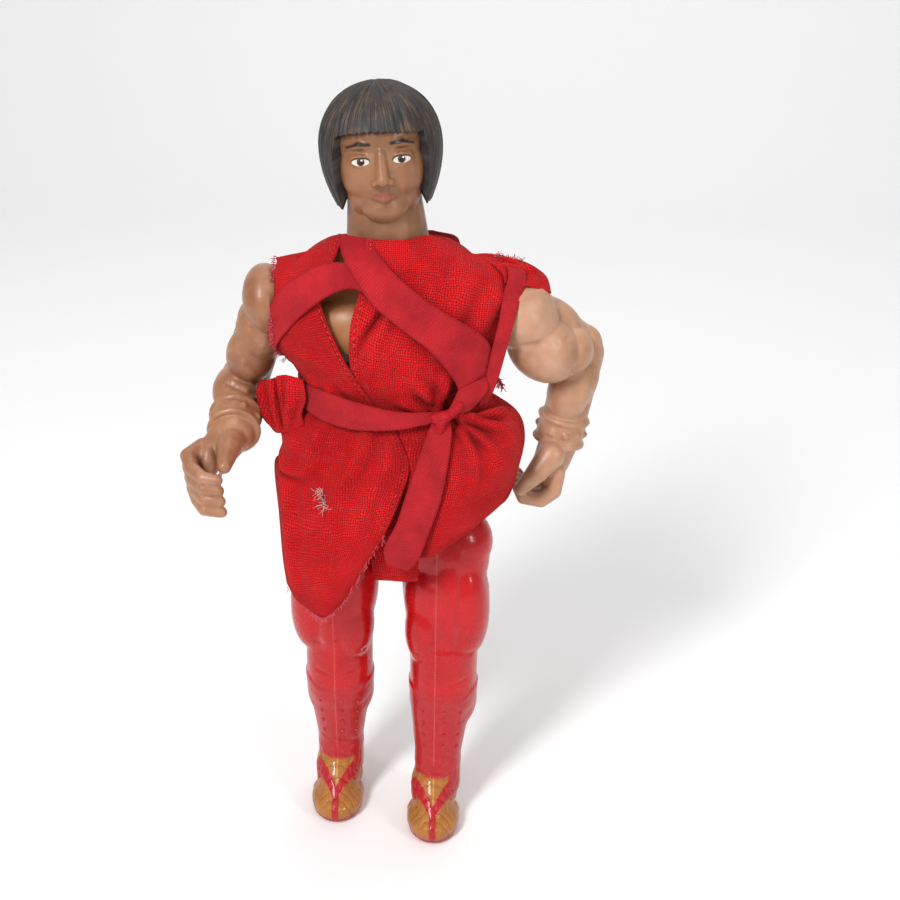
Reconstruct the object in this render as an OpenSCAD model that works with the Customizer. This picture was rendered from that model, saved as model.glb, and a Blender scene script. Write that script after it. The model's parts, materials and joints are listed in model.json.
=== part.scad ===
// Action figure in a wrap-over cloth costume, standing.
// +X is the figure's left, -Y its front, +Z up. The soles stand on z = 0.
// The head, both arms and both legs turn on pegs, and the torso turns on the waist post.

/* [Figure] */
// Height of the shoulder joints above the soles
shoulder_z = 121; // [120.5:0.5:121.5]
// Height of the hip joints above the soles
hip_z = 68; // [67.5:0.5:68.5]
// Height of the joint between the hip block and the torso
waist_z = 99; // [98.8:0.1:99.2]
// Height of the seat of the head on the torso
neck_z = 133; // [132.6:0.2:133.4]
// Sideways lean of the head, in degrees
head_lean = 4.5; // [0:0.5:6]
// How far the left foot stands in front of the right one
left_step = 6.5; // [4:0.5:8]

/* [Joints] */
// Radius of the shoulder pegs
peg_r = 3; // [2.6:0.1:3.2]
// Radius of the neck post
neck_post_r = 3; // [2.6:0.1:3.2]
// Radius of the waist post
waist_post_r = 5; // [4.6:0.1:5.2]
// Radius of the bosses that the legs turn on
hip_boss_r = 4; // [3.8:0.1:4.2]
// Running clearance on a radius
run_gap = 0.05; // [0.03:0.01:0.08]
// Gap between two faces that turn past each other
face_gap = 0.3; // [0.3:0.05:0.4]

/* [Costume] */
// Thickness of the torso shells
shell_wall = 1.6; // [1.4:0.1:1.8]
// Thickness of the cotton panels
cloth_t = 0.8; // [0.6:0.1:0.9]
// Thickness of the ribbon
ribbon_t = 0.6; // [0.5:0.1:0.7]
// Width of the ribbon
ribbon_w = 8.4; // [7:0.2:9]

/* [Hands] */
// Radius of the grip in each hand
grip_r = 2; // [1.8:0.1:2.1]

/* [Hidden] */

round_fn = 48;          // facets of a drawn circle
skin_gap = 0.3;         // the costume stands this far off the body
hand_t = 10.6;          // height of each hand along its grip

// Middle of the figure's box, so that the origin is under it
mid_x = 2.6;
mid_y = -6.84;

vinyl = [0.56, 0.40, 0.27];
arm_tan = [0.74, 0.56, 0.44];
chest_tan = [0.72, 0.52, 0.33];
cotton_red = [0.78, 0.08, 0.12];
ribbon_red = [0.70, 0.15, 0.18];
leg_red = [0.80, 0.14, 0.16];
steel = [0.65, 0.65, 0.68];
band_cream = [0.85, 0.80, 0.66];

// ---- Curves and skins -------------------------------------------------

// Row of a table that holds the value t of its first column
function row_at(rows, t, i = 0) =
    (i >= len(rows) - 2 || t < rows[i + 1][0]) ? i : row_at(rows, t, i + 1);

// Smooth value of column c of a table at t
function smooth_at(rows, t, c) =
    let (
        i = row_at(rows, t),
        p0 = rows[max(i - 1, 0)], p1 = rows[i], p2 = rows[i + 1],
        p3 = rows[min(i + 2, len(rows) - 1)],
        h = p2[0] - p1[0],
        u = (t - p1[0]) / h,
        m1 = h * (p2[c] - p0[c]) / (p2[0] - p0[0]),
        m2 = h * (p3[c] - p1[c]) / (p3[0] - p1[0])
    )
    p1[c] * (1 - u) * (1 - u) * (1 + 2 * u) + p2[c] * u * u * (3 - 2 * u)
    + m1 * u * (1 - u) * (1 - u) - m2 * u * u * (1 - u);

// A list of points made smooth, with a few steps in each span
function smooth_path(path, steps) =
    let (rows = [for (i = [0:len(path) - 1]) concat([i], path[i])])
    [for (k = [0:(len(path) - 1) * steps])
        [for (c = [1:len(path[0])]) smooth_at(rows, k / steps, c)]];

function unit(v) = v / norm(v);
function xyz(p) = [p[0], p[1], p[2]];

// Closed solid through equal rings, each anticlockwise seen from the far end
module skin(rings) {
    n = len(rings[0]);
    m = len(rings);
    sides = [
        for (j = [0:m - 2], i = [0:n - 1])
            let (k = (i + 1) % n, a = j * n, b = a + n)
            each [[a + i, b + i, a + k], [a + k, b + i, b + k]]
    ];
    first = [for (i = [0:n - 1]) i];
    last = [for (i = [n - 1:-1:0]) (m - 1) * n + i];
    polyhedron([for (r = rings) each r], concat(sides, [first], [last]));
}

// Closed solid through equal rings that are thin strips: the first half of each ring is one
// face of the strip and the second half, run backwards, is the other
module strip_skin(rings) {
    n = len(rings[0]);
    m = len(rings);
    end = (m - 1) * n;
    sides = [
        for (j = [0:m - 2], i = [0:n - 1])
            let (k = (i + 1) % n, a = j * n, b = a + n)
            each [[a + i, b + i, a + k], [a + k, b + i, b + k]]
    ];
    caps = [
        for (i = [0:n / 2 - 2])
            let (far = n - 1 - i)
            each [[i, i + 1, far - 1], [i, far - 1, far],
                [end + i, end + far - 1, end + i + 1], [end + i, end + far, end + far - 1]]
    ];
    polyhedron([for (r = rings) each r], concat(sides, caps));
}

// Limb along a path of [x, y, z, half width, half depth]; side is the way its width runs
module limb(path, sides = 16, steps = 3, side = [1, 0, 0]) {
    p = smooth_path(path, steps);
    last = len(p) - 1;
    skin([
        for (i = [0:last])
            let (
                t = unit(xyz(p[min(i + 1, last)]) - xyz(p[max(i - 1, 0)])),
                v = unit(cross(t, side)),
                u = cross(v, t)
            )
            [for (k = [0:sides - 1])
                let (a = 360 * k / sides)
                xyz(p[i]) + u * p[i][3] * cos(a) + v * p[i][4] * sin(a)]
    ]);
}

// Rod of round section along X, Y or Z through true cylinders
module rod_x(r, x0, x1) {
    translate([x0, 0, 0]) rotate([0, 90, 0]) cylinder(r = r, h = x1 - x0, $fn = round_fn);
}

module place() {
    translate([-mid_x, -mid_y, 0]) children();
}

// ---- Torso form -------------------------------------------------------

// Height, half width, half depth of the body from waist to neck
torso_rows = [
    [waist_z, 14.4, 9.4], [104, 14.8, 9.6], [110, 16.6, 10.8], [116, 18, 12],
    [121, 17.6, 12], [125, 16.4, 10.8], [128.5, 13.6, 9], [131, 9.6, 7.8], [neck_z, 8, 7.6]
];
torso_squareness = 2.5;

function power(v, n) = sign(v) * pow(abs(v), 2 / n);

// Point of the torso's outside at an angle and a height, moved outwards by off
function torso_point(a, z, off = 0) =
    let (
        rx = smooth_at(torso_rows, z, 1) + off,
        ry = smooth_at(torso_rows, z, 2) + off
    )
    [rx * power(cos(a), torso_squareness), ry * power(sin(a), torso_squareness), z];

module torso_solid(off, z0, z1, levels) {
    skin([
        for (j = [0:levels])
            let (z = z0 + (z1 - z0) * j / levels)
            [for (k = [0:31]) torso_point(k * 360 / 32, z, off)]
    ]);
}

// Panel on the torso between two angles, which may change with the height.
// rows holds [height, first angle, last angle].
module torso_panel(rows, inner, wall, levels = 10, across = 10) {
    z0 = rows[0][0];
    z1 = rows[len(rows) - 1][0];
    strip_skin([
        for (j = [0:levels])
            let (
                z = z0 + (z1 - z0) * j / levels,
                a0 = smooth_at(rows, z, 1),
                a1 = smooth_at(rows, z, 2)
            )
            concat(
                [for (k = [0:across]) torso_point(a0 + (a1 - a0) * k / across, z, inner + wall)],
                [for (k = [across:-1:0]) torso_point(a0 + (a1 - a0) * k / across, z, inner)]
            )
    ]);
}

// Point at p's height and direction on the torso, moved outwards by off
function turned(v, r) = sign(v) * pow(min(1, abs(v) / r), torso_squareness / 2);
function laid_on_torso(p, off) =
    let (
        rx = smooth_at(torso_rows, p[2], 1) + off,
        ry = smooth_at(torso_rows, p[2], 2) + off
    )
    torso_point(atan2(turned(p[1], ry), turned(p[0], rx)), p[2], off);

// Ribbon along a path of [angle, height] on the torso, lying flat on the costume
module torso_ribbon(path, width, inner, wall, steps = 5) {
    p = smooth_path(path, steps);
    last = len(p) - 1;
    strip_skin([
        for (i = [0:last])
            let (
                here = torso_point(p[i][0], p[i][1], inner),
                out = unit(torso_point(p[i][0], p[i][1], inner + 1) - here),
                along = unit(torso_point(p[min(i + 1, last)][0], p[min(i + 1, last)][1], inner)
                    - torso_point(p[max(i - 1, 0)][0], p[max(i - 1, 0)][1], inner)),
                over = unit(cross(along, out))
            )
            concat(
                [for (w = [-1:1]) laid_on_torso(here + over * w * width / 2, inner + wall)],
                [for (w = [1:-1:-1]) laid_on_torso(here + over * w * width / 2, inner)]
            )
    ]);
}

// ---- Torso pieces -----------------------------------------------------

arm_x = 19.2;               // the arms begin this far out from the middle
boss_r = 6;                 // seat of each arm
flange_t = 1.6;             // thickness of the heads on the pegs and posts
torso_seat = arm_x - face_gap;
boss_x = 14.2;              // inner face of each seat

// Both shells in one, before they are parted at the side seam
module torso_whole() {
    inside = waist_z + 2;
    difference() {
        union() {
            torso_solid(0, waist_z, neck_z, 14);
            for (s = [-1, 1]) translate([0, 0, shoulder_z]) mirror([s < 0 ? 1 : 0, 0, 0])
                rod_x(boss_r, boss_x, torso_seat);
        }
        difference() {
            torso_solid(-shell_wall, inside, neck_z - 2, 12);
            for (s = [-1, 1]) translate([0, 0, shoulder_z]) mirror([s < 0 ? 1 : 0, 0, 0])
                rod_x(boss_r, boss_x, torso_seat);
        }
        translate([0, 0, shoulder_z]) rod_x(peg_r + run_gap, -arm_x - 1, arm_x + 1);
        translate([0, 0, waist_z - 1])
            cylinder(r = waist_post_r + run_gap, h = 4, $fn = round_fn);
        translate([0, 0, neck_z - 4])
            cylinder(r = neck_post_r + run_gap, h = 6, $fn = round_fn);
    }
}

module half_space(s) {
    translate([-50, s > 0 ? 0 : -50, 80]) cube([100, 50, 80]);
}

module torso_front() {
    color(chest_tan) place() intersection() { torso_whole(); half_space(-1); }
}

module torso_back() {
    color(chest_tan) place() intersection() { torso_whole(); half_space(1); }
}

// Headed pin that the head is pushed over; its foot sits under the neck seat
module neck_post() {
    foot_z = neck_z - 2 - flange_t;
    color(chest_tan) place() {
        translate([0, 0, foot_z]) cylinder(r = neck_post_r + 1.4, h = flange_t, $fn = round_fn);
        translate([0, 0, foot_z]) cylinder(r = neck_post_r, h = 11.6, $fn = round_fn);
        translate([0, 0, foot_z + 10]) cylinder(r = neck_post_r + 1, h = flange_t, $fn = round_fn);
    }
}

// ---- Wrap jacket ------------------------------------------------------

gi_low = waist_z + 0.2;
gi_high = 130;
seam_back = 4;              // angle by which the panels stop short of the side seam

// Right panel, from the side seam to the edge of the neck opening
module gi_front_right() {
    rows = [[gi_low, 180 + seam_back, 262], [108, 180 + seam_back, 250],
        [118, 180 + seam_back, 232], [gi_high, 180 + seam_back, 225]];
    color(cotton_red) place() armholes()
        torso_panel(rows, skin_gap, cloth_t);
}

// Left panel, which laps to the right of the middle at the waist
module gi_front_left() {
    rows = [[gi_low, 264, 360 - seam_back], [108, 256, 360 - seam_back],
        [118, 262, 360 - seam_back], [gi_high, 290, 360 - seam_back]];
    color(cotton_red) place() armholes()
        torso_panel(rows, skin_gap, cloth_t);
}

module gi_back() {
    rows = [[gi_low, seam_back, 180 - seam_back], [gi_high, seam_back, 180 - seam_back]];
    color(cotton_red) place() armholes()
        torso_panel(rows, skin_gap, cloth_t, 10, 16);
}

// Round openings for the arms
module armholes() {
    difference() {
        children();
        translate([0, 0, shoulder_z]) rod_x(boss_r + 2, -arm_x - 5, arm_x + 5);
    }
}

// ---- Ribbons ----------------------------------------------------------

ribbon_in = skin_gap + cloth_t + 0.15;
second_in = ribbon_in + ribbon_t + 0.15;

module sash_chest() {
    color(ribbon_red) place()
        torso_ribbon([[238, 128], [262, 122], [290, 114], [312, 107.5]], ribbon_w, second_in, ribbon_t);
}

module sash_armhole() {
    color(ribbon_red) place()
        torso_ribbon([[246, 127], [228, 122], [214, 116.5]], ribbon_w * 0.8, ribbon_in, ribbon_t);
}

module sash_shoulder() {
    color(ribbon_red) place()
        torso_ribbon([[322, 126], [320, 120], [318, 114], [316, 108]], ribbon_w * 0.5, ribbon_in, ribbon_t);
}

module sash_back() {
    color(ribbon_red) place()
        torso_ribbon([[40, 126], [66, 120.6], [100, 113.6], [128, 109.8]], ribbon_w, ribbon_in, ribbon_t);
}

waist_ribbon_z = 103.2;
module sash_waist() {
    low = waist_ribbon_z - 2.6;
    high = waist_ribbon_z + 2.6;
    color(ribbon_red) place() difference() {
        torso_solid(ribbon_in + ribbon_t, low, high, 2);
        torso_solid(ribbon_in, low - 1, high + 1, 2);
    }
}

knot_x = 11.6;
module sash_knot() {
    color(ribbon_red) place()
        limb([[knot_x - 3.6, -13.2, 103.2, 0.8, 0.6], [knot_x - 2.2, -13.8, 103.2, 2.2, 1.5],
            [knot_x, -14.2, 103.2, 2.8, 1.9], [knot_x + 2.2, -13.8, 103.2, 2.2, 1.5],
            [knot_x + 3.6, -13.2, 103.2, 0.8, 0.6]], 12, 2, [0, 0, 1]);
}

// Hanging end of the waist ribbon
module sash_tail() {
    drop = smooth_path([[knot_x - 0.5, -15.3, 100], [8.5, -17.4, 90], [5, -18, 78], [3.2, -17.6, 66]], 4);
    last = len(drop) - 1;
    half = ribbon_w / 2;
    color(ribbon_red) place() skin([
        for (i = [last:-1:0])
            let (c = drop[i], w = half * min(1, 0.4 + 0.12 * i))
            [[c[0] - w, c[1], c[2]], [c[0] - w, c[1] - ribbon_t, c[2]],
             [c[0] + w, c[1] - ribbon_t, c[2]], [c[0] + w, c[1], c[2]]]
    ]);
}

// ---- Hip block --------------------------------------------------------

leg_r = 8.8;                // radius of the rounded top of each leg
web_x = 3;                  // half width of the block between the legs
block_low = hip_z + leg_r + 1.2;
boss_t = 1.4;               // height of the bosses on the block
band_hole_r = 3;

module pelvis_block() {
    rows = [[block_low, 17, 10], [block_low + 6, 17.4, 10.6], [92, 15.4, 10],
        [waist_z - face_gap, 14.2, 9.4]];
    color(leg_red) place() difference() {
        union() {
            skin([
                for (j = [0:8])
                    let (z = block_low + (waist_z - face_gap - block_low) * j / 8)
                    [for (k = [0:23])
                        let (a = k * 15)
                        [smooth_at(rows, z, 1) * power(cos(a), torso_squareness),
                         smooth_at(rows, z, 2) * power(sin(a), torso_squareness), z]]
            ]);
            translate([0, 0, hip_z]) rod_x(leg_r - 1, -web_x, web_x);
            translate([-web_x, -6, hip_z]) cube([2 * web_x, 12, block_low - hip_z + 1]);
            translate([0, 0, hip_z]) rod_x(hip_boss_r, -web_x - boss_t, web_x + boss_t);
        }
        translate([0, 0, hip_z]) rod_x(band_hole_r, -20, 20);
        translate([0, 0, waist_z - 6]) cylinder(r = waist_post_r, h = 8, $fn = round_fn);
    }
}

// Headed pin fixed in the hip block; its head holds the floor of the torso
module waist_post() {
    color(leg_red) place() {
        translate([0, 0, waist_z - 6]) cylinder(r = waist_post_r, h = 9.8, $fn = round_fn);
        translate([0, 0, waist_z + 2.2])
            cylinder(r = waist_post_r + 1.2, h = flange_t, $fn = round_fn);
    }
}

// Flat elastic loop, stretched between the two hooks
band_w = 2.4;
band_reach = 8.2;
module elastic_band() {
    color(band_cream) place() translate([0, band_w / 2, hip_z]) rotate([90, 0, 0])
        linear_extrude(band_w) difference() {
            band_outline(1.9);
            band_outline(1.1);
        }
}

module band_outline(r) {
    square([2 * band_reach, 2 * r], center = true);
    for (s = [-1, 1]) translate([s * band_reach, 0]) circle(r = r, $fn = 24);
}

// ---- Skirt ------------------------------------------------------------

skirt_top = waist_z - 0.5;

// Panel of the skirt: rows of [height, half width, half depth, first angle, last angle]
module skirt_panel(rows, levels = 8, across = 8) {
    z0 = rows[0][0];
    z1 = rows[len(rows) - 1][0];
    strip_skin([
        for (j = [0:levels])
            let (
                z = z0 + (z1 - z0) * j / levels,
                rx = smooth_at(rows, z, 1),
                ry = smooth_at(rows, z, 2),
                a0 = smooth_at(rows, z, 3),
                a1 = smooth_at(rows, z, 4)
            )
            concat(
                [for (k = [0:across]) let (a = a0 + (a1 - a0) * k / across)
                    [(rx + cloth_t) * cos(a), (ry + cloth_t) * sin(a), z]],
                [for (k = [across:-1:0]) let (a = a0 + (a1 - a0) * k / across)
                    [rx * cos(a), ry * sin(a), z]]
            )
    ]);
}

module skirt_flap_right() {
    color(cotton_red) place() skirt_panel([[60, 24.4, 14.4, 232, 242], [66, 24.4, 14, 206, 250],
        [80, 24, 13.4, 196, 264], [90, 21, 13, 190, 272], [skirt_top, 17.4, 12.6, 188, 278]]);
}

module skirt_flap_left() {
    color(cotton_red) place() skirt_panel([[72, 24.6, 14.6, 300, 314], [80, 24.6, 14.6, 284, 336],
        [90, 24.2, 14, 282, 348], [skirt_top, 18.6, 12.6, 282, 350]]);
}

module skirt_back() {
    color(cotton_red) place() skirt_panel([[66, 27, 13.4, 34, 146], [76, 26, 13.2, 18, 162],
        [88, 22, 12.6, 6, 174], [skirt_top, 17.6, 12, 4, 176]], 8, 12);
}

module centre_tail() {
    color(cotton_red) place() translate([-2.4, -12.2, 59.5]) cube([9.2, cloth_t, 18]);
}

// ---- Head -------------------------------------------------------------

module head() {
    low = neck_z + face_gap;
    color(vinyl) place() difference() {
        union() {
            translate([0, 0, low]) rotate([0, -head_lean, 0]) limb([
                [0, 0.3, 1.2, 7.8, 7.6], [0, 0, 4.5, 7.7, 7.8], [0, -0.6, 6.6, 9, 9.6],
                [0, -0.8, 10, 11.2, 11.4], [0, -0.6, 15, 12.1, 12.2], [0, -0.2, 20, 12.2, 12.3],
                [0, 0, 25.6, 10.6, 11], [0, 0, 29.4, 7.4, 8], [0, 0, 31.2, 3.4, 3.8],
                [0, 0, 31.7, 0.4, 0.4]], 20, 3);
            translate([0, 0, low]) cylinder(r = 7.6, h = 4, $fn = round_fn);
        }
        translate([0, 0, low - 1])
            cylinder(r = neck_post_r + run_gap, h = 9, $fn = round_fn);
        translate([0, 0, neck_z + 6.1])
            cylinder(r = neck_post_r + 1.3, h = 2.6, $fn = round_fn);
    }
}

// ---- Arms -------------------------------------------------------------

// Hand round its grip: the grip runs along the local Z, the palm's opening along the local X
module hand(half_w, half_d) {
    difference() {
        limb([[0, 0, -hand_t / 2, half_w * 0.8, half_d * 0.8],
            [0, 0, -hand_t / 2 + 1.4, half_w, half_d],
            [0, 0, hand_t / 2 - 1.4, half_w, half_d],
            [0, 0, hand_t / 2, half_w * 0.8, half_d * 0.8]], 16, 2);
        translate([half_w - 3.4, 0, 0]) {
            cylinder(r = grip_r, h = hand_t + 2, center = true, $fn = round_fn);
            translate([0, -grip_r * 0.7, -hand_t]) cube([half_w, grip_r * 1.4, 2 * hand_t]);
        }
    }
}

// Seat of an arm, turning against the torso, with the hole for its peg. s is -1 on the right.
module arm_seat(s) {
    translate([0, 0, shoulder_z]) mirror([s < 0 ? 1 : 0, 0, 0]) children();
}

peg_depth = 5.5;            // how deep each peg goes into its arm

module right_arm() {
    color(arm_tan) place() {
        difference() {
            union() {
                arm_seat(-1) rod_x(boss_r, arm_x, arm_x + 3.5);
                limb([[-23.6, 0, 128.8, 1, 1], [-23.8, 0, 127.8, 3.6, 4.8], [-24.4, 0, 124, 4.8, 7.6],
                    [-25.4, 0.6, 118, 5.6, 7.8], [-27, 3, 110, 6, 6.6], [-29.4, 6, 103, 5.8, 6],
                    [-30.4, 7.4, 98.6, 4.4, 4.6], [-30.6, 7.8, 96.6, 1, 1]], 16, 3, [1, 0, 0]);
                limb([[-30.4, 11, 102, 1.5, 1.5], [-30.6, 9, 101.6, 4.6, 4.6], [-31, 2, 100.4, 5.8, 6],
                    [-30.6, -6, 98.6, 5.2, 5.4], [-30.4, -12, 97, 4.8, 4.8], [-31.4, -17, 95.4, 4.4, 4.8]],
                    16, 3, [1, 0, 0]);
            }
            arm_seat(-1) rod_x(peg_r, arm_x - 1, arm_x + peg_depth);
            right_grip() cylinder(r = grip_r, h = hand_t + 2, center = true, $fn = round_fn);
        }
        right_grip() translate([3.4 - 5.6, 0, 0]) hand(5.6, 5.4);
    }
}

// Place of the right hand's grip; the hand opens towards the middle and the front
grip_turn = -50;
right_grip_at = [-32, -23.6, 92.6];
module right_grip() {
    translate(right_grip_at) rotate([11, 0, 0]) rotate([0, 0, grip_turn]) children();
}

left_grip_at = [30.4, 4.6, 82];
module left_grip() {
    translate(left_grip_at) rotate([90, 0, 0]) rotate([0, 0, 200]) children();
}

module left_arm() {
    color(arm_tan) place() {
        difference() {
            union() {
                arm_seat(1) rod_x(boss_r, arm_x, arm_x + 3.5);
                limb([[19.6, 0, shoulder_z, 5.6, 5.6], [22, 0, shoulder_z - 0.4, 7.3, 7.4],
                    [27, 0.6, 118, 7.6, 7.6], [32.5, 2.6, 113, 7.5, 7.2], [37, 5.6, 109, 6.2, 6],
                    [40, 7.6, 107.6, 4.6, 4.6], [41.6, 8.6, 107, 1, 1]], 16, 3, [0, 1, 0]);
                limb([[39.6, 9, 113.6, 1.2, 1.2], [39.4, 8.8, 111.8, 4.2, 4.2], [38.4, 8, 104, 5.8, 5.8],
                    [37, 7, 97, 5.3, 5.4], [35.8, 6.2, 91, 4.8, 4.8], [34.4, 5.6, 87, 4.4, 4.6]],
                    16, 3, [1, 0, 0]);
            }
            arm_seat(1) rod_x(peg_r, arm_x - 1, arm_x + peg_depth);
            left_grip() cylinder(r = grip_r, h = hand_t + 2, center = true, $fn = round_fn);
        }
        left_grip() translate([3.4 - 5.6, 0, 0]) hand(5.6, 5);
    }
}

// Headed peg, fixed in the arm and turning in the torso
module shoulder_peg(s) {
    head_x = boss_x - 0.2 - flange_t;
    color(arm_tan) place() arm_seat(s) {
        rod_x(peg_r, head_x, arm_x + peg_depth);
        rod_x(peg_r + 1.5, head_x, head_x + flange_t);
    }
}

module right_shoulder_peg() { shoulder_peg(-1); }
module left_shoulder_peg() { shoulder_peg(1); }

// ---- Legs -------------------------------------------------------------

hook_wire_r = 0.55;
hook_hole_r = 3.2;
hook_depth = 13;

// Leg whose hip is at x = 0, drawn for the left side: its inner face looks to -X.
// in_x is the inner face and out_x the outer one, step is how far the foot stands forward.
// lean says how far inside the thigh's middle the knee, the ankle and the foot stand.
module leg_form(in_x, out_x, centre, step, lean) {
    foot_y = -step;
    knee_y = -step * 0.45;
    difference() {
        union() {
            translate([0, 0, hip_z]) {
                rod_x(leg_r, in_x, out_x - 1.5);
                translate([out_x - 1.5, 0, 0]) rotate([0, 90, 0])
                    cylinder(r1 = leg_r, r2 = leg_r - 1.5, h = 1.5, $fn = round_fn);
            }
            limb([
                [centre - 0.4, 0, hip_z + 6, 5.6, 6.2], [centre - 0.2, 0, hip_z, 8.2, 8.6],
                [centre, -0.6, 58, 9.4, 9.6], [centre, knee_y * 0.6, 48, 8.8, 9],
                [centre - lean[0], knee_y, 40, 7.1, 7.6], [centre - lean[0], knee_y + 0.6, 33, 7.9, 7.9],
                [centre - (lean[0] + lean[1]) / 2, foot_y * 0.75 + 1.6, 24, 6.7, 7],
                [centre - lean[1], foot_y + 2, 14, 5.2, 5.4],
                [centre - lean[2], foot_y + 1.6, 8, 5.4, 6], [centre - lean[2], foot_y + 1, 3, 5.4, 6]], 18, 3);
            translate([centre - lean[2], foot_y, 0]) foot();
        }
        translate([0, 0, hip_z]) rod_x(leg_r - 0.6, in_x - 3, in_x);
        translate([0, 0, hip_z]) rod_x(hip_boss_r + run_gap, in_x - 1, in_x + boss_t + 0.3);
        translate([0, 0, hip_z]) rod_x(hook_hole_r, in_x - 1, in_x + hook_depth - 4);
        translate([0, 0, hip_z]) rod_x(hook_wire_r, in_x, in_x + hook_depth);
    }
}

// Foot with a flat sole: the toe looks to -Y
module foot() {
    linear_extrude(1.6) sole_outline();
    limb([[0, -9.2, 1, 3, 1.2], [0, -7.6, 2.4, 5.2, 2.2], [0, -3, 3.6, 5.9, 3.4],
        [0, 2, 5.2, 5.6, 5], [0, 6.4, 4.6, 5, 4.2], [0, 8.6, 3.4, 3.4, 2.6]], 16, 2, [1, 0, 0]);
}

module sole_outline() {
    polygon([for (k = [0:35])
        let (a = k * 10, toe = sin(a) < 0 ? 1 : 0)
        [(toe ? 6 : 5.4) * power(cos(a), 2.6), (toe ? 12 : 9.4) * power(sin(a), 2.2)]]);
}

module right_leg() {
    color(leg_red) place() mirror([1, 0, 0]) leg_form(web_x + face_gap, 20.4, 11.6, 0, [0.8, 0.7, 0.2]);
}

module left_leg() {
    color(leg_red) place() leg_form(web_x + face_gap, 21.4, 12.6, left_step, [0.2, 1.1, 1.9]);
}

// Hook in the top of a leg: a folded strip of steel whose bar lies in the end of the elastic loop
hook_strip = 0.7;
hook_half_z = 0.9;
module hip_hook(s) {
    arm_y = band_w / 2 + 0.3;
    back_x = band_reach + 2.6;
    end_x = web_x + face_gap + hook_depth;
    color(steel) place() translate([0, 0, hip_z]) mirror([s < 0 ? 1 : 0, 0, 0]) {
        translate([band_reach, 0, 0]) rotate([90, 0, 0])
            cylinder(r = hook_wire_r, h = 2 * arm_y + hook_strip, center = true, $fn = 24);
        for (y = [-arm_y - hook_strip, arm_y])
            translate([band_reach - hook_half_z, y, -hook_half_z])
                cube([back_x + hook_strip - band_reach + hook_half_z, hook_strip, 2 * hook_half_z]);
        translate([back_x, -arm_y - hook_strip / 2, -hook_half_z])
            cube([hook_strip, 2 * arm_y + hook_strip, 2 * hook_half_z]);
        translate([hook_strip / 2, 0, 0]) rod_x(hook_wire_r, back_x, end_x);
    }
}

module right_hip_hook() { hip_hook(-1); }
module left_hip_hook() { hip_hook(1); }

pelvis_block();
waist_post();
elastic_band();
skirt_back();
skirt_flap_right();
skirt_flap_left();
centre_tail();
torso_front();
torso_back();
neck_post();
gi_front_right();
gi_front_left();
gi_back();
sash_chest();
sash_armhole();
sash_shoulder();
sash_back();
sash_waist();
sash_knot();
sash_tail();
head();
right_arm();
right_shoulder_peg();
left_arm();
left_shoulder_peg();
right_leg();
right_hip_hook();
left_leg();
left_hip_hook();
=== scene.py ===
# Action figure in a cloth costume, built up in the order it is put together: hip block, legs, torso,
# arms, head, jacket, ribbons. Every form is worked in millimetres on the figure's own middle line
# (x to its left, y to its back, z up from the soles) and set in place in metres.
import json
import math
import random

import bmesh
import bpy
import numpy as np
from mathutils import Euler, Matrix, Vector
from mathutils.bvhtree import BVHTree


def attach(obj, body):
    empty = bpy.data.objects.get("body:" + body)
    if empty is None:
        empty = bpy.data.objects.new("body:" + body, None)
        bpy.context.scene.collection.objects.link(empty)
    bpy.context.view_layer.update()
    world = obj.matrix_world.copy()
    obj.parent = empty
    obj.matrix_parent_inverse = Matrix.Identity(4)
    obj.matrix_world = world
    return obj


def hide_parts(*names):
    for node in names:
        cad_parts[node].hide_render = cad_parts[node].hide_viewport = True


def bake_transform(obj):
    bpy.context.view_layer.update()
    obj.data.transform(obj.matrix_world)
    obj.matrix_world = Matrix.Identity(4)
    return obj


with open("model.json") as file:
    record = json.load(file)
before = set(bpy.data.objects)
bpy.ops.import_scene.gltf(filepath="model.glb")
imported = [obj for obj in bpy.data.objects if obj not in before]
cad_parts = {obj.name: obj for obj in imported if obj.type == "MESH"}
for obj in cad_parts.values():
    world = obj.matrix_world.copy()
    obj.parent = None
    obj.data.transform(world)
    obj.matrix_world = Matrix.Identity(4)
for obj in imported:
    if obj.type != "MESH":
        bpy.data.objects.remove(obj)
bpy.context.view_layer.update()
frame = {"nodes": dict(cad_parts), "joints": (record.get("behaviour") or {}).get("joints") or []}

# ---- Legs ------------------------------------------------------------------------------------
# Each leg is one hollow moulding of glossy red plastic with a boot and a sandalled foot on it.
# Two mould halves meet in a fine ridge down its middle; the foot is sprayed tan through a mask.

MM = 0.001
joint_at = {j["name"]: Vector(j["pos_m"]) for j in frame["joints"]}
middle = Vector((joint_at["neck_turn"].x, joint_at["neck_turn"].y, 0.0))


def add_ball(form, at, size, turn=(0, 0, 0)):
    """A muscle: a ball of three half-widths, turned in degrees."""
    sizes = (size, size, size) if isinstance(size, (int, float)) else size
    spin = Euler([math.radians(a) for a in turn]).to_matrix().to_4x4()
    place = Matrix.Translation(at) @ spin @ Matrix.Diagonal((*sizes, 1))
    bmesh.ops.create_uvsphere(form, u_segments=24, v_segments=16, radius=1, matrix=place)


def add_taper(form, start, end, r_start, r_end):
    """A bone-like taper with round ends."""
    a, b = Vector(start), Vector(end)
    place = Matrix.Translation((a + b) / 2) @ (b - a).to_track_quat("Z", "Y").to_matrix().to_4x4()
    bmesh.ops.create_cone(form, cap_ends=True, segments=24, radius1=r_start, radius2=r_end,
                          depth=(b - a).length, matrix=place)
    add_ball(form, a, r_start)
    add_ball(form, b, r_end)


def add_chain(form, points, radii):
    """A finger or cord: tapers from point to point."""
    for i in range(len(points) - 1):
        add_taper(form, points[i], points[i + 1], radii[i], radii[i + 1])


def new_piece(form, name):
    mesh = bpy.data.meshes.new(name)
    form.to_mesh(mesh)
    form.free()
    piece = bpy.data.objects.new(name, mesh)
    bpy.context.scene.collection.objects.link(piece)
    return piece


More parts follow.
